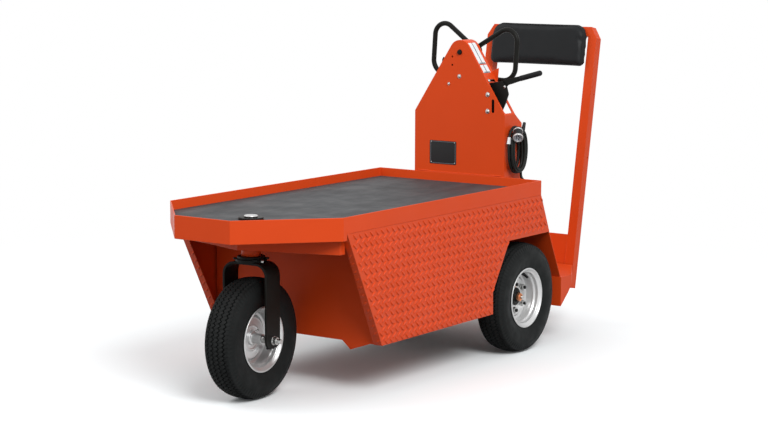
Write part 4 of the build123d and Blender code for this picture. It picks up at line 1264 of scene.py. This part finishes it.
def fillOut(mesh):
    # Draws the settled cover out to the pad's own width and height
    middle, across, up, _ = padFrame()
    for axis, size in zip((across, up), padLook["size"]):
        reaches = [(v.co - middle).dot(axis) for v in mesh.vertices]
        low, high = min(reaches), max(reaches)
        for vertex, reach in zip(mesh.vertices, reaches):
            wanted = ((reach - low) / (high - low) - 0.5) * size * mm
            vertex.co += axis * (wanted - reach)


def smoothOut(work):
    # Evens out the voxel steps
    bmesh.ops.smooth_vert(work, verts=work.verts, factor=0.5,
                          use_axis_x=True, use_axis_y=True, use_axis_z=True)


def makePad():
    piece = padFoam()
    remesh = piece.modifiers.new("even", "REMESH")
    remesh.mode = "VOXEL"
    remesh.voxel_size = padLook["voxel"] * mm
    evaluated = piece.evaluated_get(bpy.context.evaluated_depsgraph_get())
    mesh = bpy.data.meshes.new_from_object(evaluated)
    piece.modifiers.remove(remesh)
    mesh.materials.clear()
    mesh.materials.append(materials["padVinyl"])
    piece.data = mesh
    settle(piece, padLook)
    for _ in range(2):
        rework(mesh, smoothOut)
    fillOut(mesh)
    mesh.shade_smooth()
    subdivide = piece.modifiers.new("smooth", "SUBSURF")
    subdivide.levels = 1
    subdivide.render_levels = 1
    return piece


def makePadSeam(mesh):
    # Welting where the front panel meets the side strip, laid on the cover from outside
    middle, across, up, out = padFrame()
    width, height, depth = padLook["size"]
    cover = surfaceOf(mesh)
    outline = padOutline(width / 2, height / 2, 0, 14)
    spots = []
    for i, (a, b) in enumerate(outline):
        before, after = outline[i - 1], outline[(i + 1) % len(outline)]
        outward = (across * (after[1] - before[1]) - up * (after[0] - before[0])).normalized()
        spot = middle + (across * a + up * b + out * (depth / 2 - padLook["seamBehind"])) * mm
        spots.append(cover.ray_cast(spot + outward * 0.03, -outward)[0] or spot)
    welt = tube(spots, padLook["seamRadius"] * mm, 8, closed=True)
    newPiece("backPadWelt", welt, "padVinyl", smoothAngle=0).data.shade_smooth()


pad = makePad()
makePadSeam(pad.data)
print("pad made")


# Weld beads of the body

weldLook = {
    "radius": 2.0,
    "ripple": 0.5,
    "pitch": 5.0,
    "postRise": 0.14,             # how far up the posts' beads lean with the kick panel
    "towerHalf": 0.16,            # the front bead and the ends of the two beside it
    "towerEnds": (0.19, 0.14),
    "towerLift": (0.0345, 0.036),
    "margin": 0.01,               # left free at both ends of the posts' beads
}


def bead(start, end):
    # A rippled fillet between two points
    look = weldLook
    start, end = Vector(start), Vector(end)
    count = max(4, int((end - start).length / (look["pitch"] * mm)) * 2)
    points = [start.lerp(end, i / count) for i in range(count + 1)]
    radii = [(look["radius"] + (look["ripple"] if i % 2 else -look["ripple"])) * mm for i in range(count + 1)]
    return tube(points, radii, 8)


def makeWelds():
    look = weldLook
    low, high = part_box("kick_panel")
    lean = (high.y - low.y) / (high.z - low.z) * look["postRise"]
    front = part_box("tower_shell")[0].y
    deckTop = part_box("deck_mat")[1].z
    frontZ, sideZ = [deckTop + lift for lift in look["towerLift"]]
    outer, inner = look["towerEnds"]
    beads = []
    for side in (1, -1):
        # The posts' feet on the platform, and the kick panel's sides
        x = side * high.x
        beads.append(bead((x, low.y, low.z + look["margin"]), (x, low.y + lean, high.z - look["margin"])))
        beads.append(bead((side * outer, front, sideZ), (side * inner, front, sideZ)))
    beads.append(bead((-look["towerHalf"], front, frontZ), (look["towerHalf"], front, frontZ)))
    newPiece("weldBeads", merged(beads), "orangePaint", smoothAngle=50)


makeWelds()
print("welds made")


# Stage, lights and camera

def seenByEye(tree):
    # 1 for rays that end in the picture, straight or by a reflection
    rays = addNode(tree, "LightPath")
    first = calc(tree, "MAXIMUM", rays["Is Camera Ray"], rays["Is Glossy Ray"])
    return calc(tree, "MAXIMUM", first, rays["Is Transmission Ray"])


def makeFloor():
    mesh = bpy.data.meshes.new("floor")
    reach = light["reach"]
    corners = [(-reach, -reach, 0), (reach, -reach, 0), (reach, reach, 0), (-reach, reach, 0)]
    mesh.from_pydata(corners, [], [(0, 1, 2, 3)])
    floor = newObject("floor", mesh)
    tree, shader = newMaterial("paleFloor")
    seen = seenByEye(tree)
    shade = blend(tree, "RGBA", seen, (*[light["bounce"]] * 3, 1), (*light["seenFloor"], 1))
    fill(tree, shader, {"Base Color": shade, "Roughness": 0.9, "Specular IOR Level": 0.0})
    place = addNode(tree, "TexCoord")["Object"]
    distance = addNode(tree, "VectorMath", {0: place}, operation="LENGTH")["Value"]
    fade = addNode(tree, "MapRange", {"Value": distance, "From Min": light["clearFrom"],
                                      "From Max": light["clearAt"]}, interpolation_type="SMOOTHSTEP")
    white = addNode(tree, "Emission", {"Strength": 1.0})["Emission"]
    mix = addNode(tree, "MixShader", {"Fac": calc(tree, "MULTIPLY", fade["Result"], seen),
                                      1: shader.outputs["BSDF"], 2: white})
    fill(tree, tree.nodes["Material Output"], {"Surface": mix["Shader"]})
    mesh.materials.append(materials["paleFloor"])


def makeWorld():
    world = bpy.data.worlds.new("paleRoom")
    bpy.context.scene.world = world
    world.use_nodes = True
    tree = world.node_tree
    ambient = tree.nodes["Background"]
    fill(tree, ambient, {"Color": (1, 1, 1, 1), "Strength": light["world"]})
    white = addNode(tree, "Background", {"Color": (1, 1, 1, 1), "Strength": 1.0})["Background"]
    mix = addNode(tree, "MixShader", {"Fac": seenByEye(tree), 1: ambient.outputs["Background"], 2: white})
    fill(tree, tree.nodes["World Output"], {"Surface": mix["Shader"]})


def makeLamps():
    for index, (place, size, power) in enumerate(light["lamps"]):
        data = bpy.data.lights.new("softbox%d" % index, "AREA")
        data.shape = "DISK"
        data.size = size
        data.energy = power
        lamp = newObject("softbox%d" % index, data)
        lamp.location = place
        lamp.rotation_euler = (Vector(light["aim"]) - Vector(place)).to_track_quat("-Z", "Y").to_euler()


def makeCamera():
    data = bpy.data.cameras.new("photoCamera")
    data.lens = view["lens"]
    data.sensor_fit = "HORIZONTAL"
    data.sensor_width = view["sensor"]
    camera = newObject("photoCamera", data)
    camera.matrix_world = (
        Matrix.Translation(view["place"]) @ Matrix.Rotation(radians(view["turn"]), 4, "Z")
        @ Matrix.Rotation(radians(view["tilt"]), 4, "X") @ Matrix.Rotation(radians(view["roll"]), 4, "Z")
    )
    bpy.context.scene.camera = camera


makeFloor()
makeWorld()
makeLamps()
makeCamera()
bpy.context.scene.view_settings.view_transform = "Standard"
print("stage set")
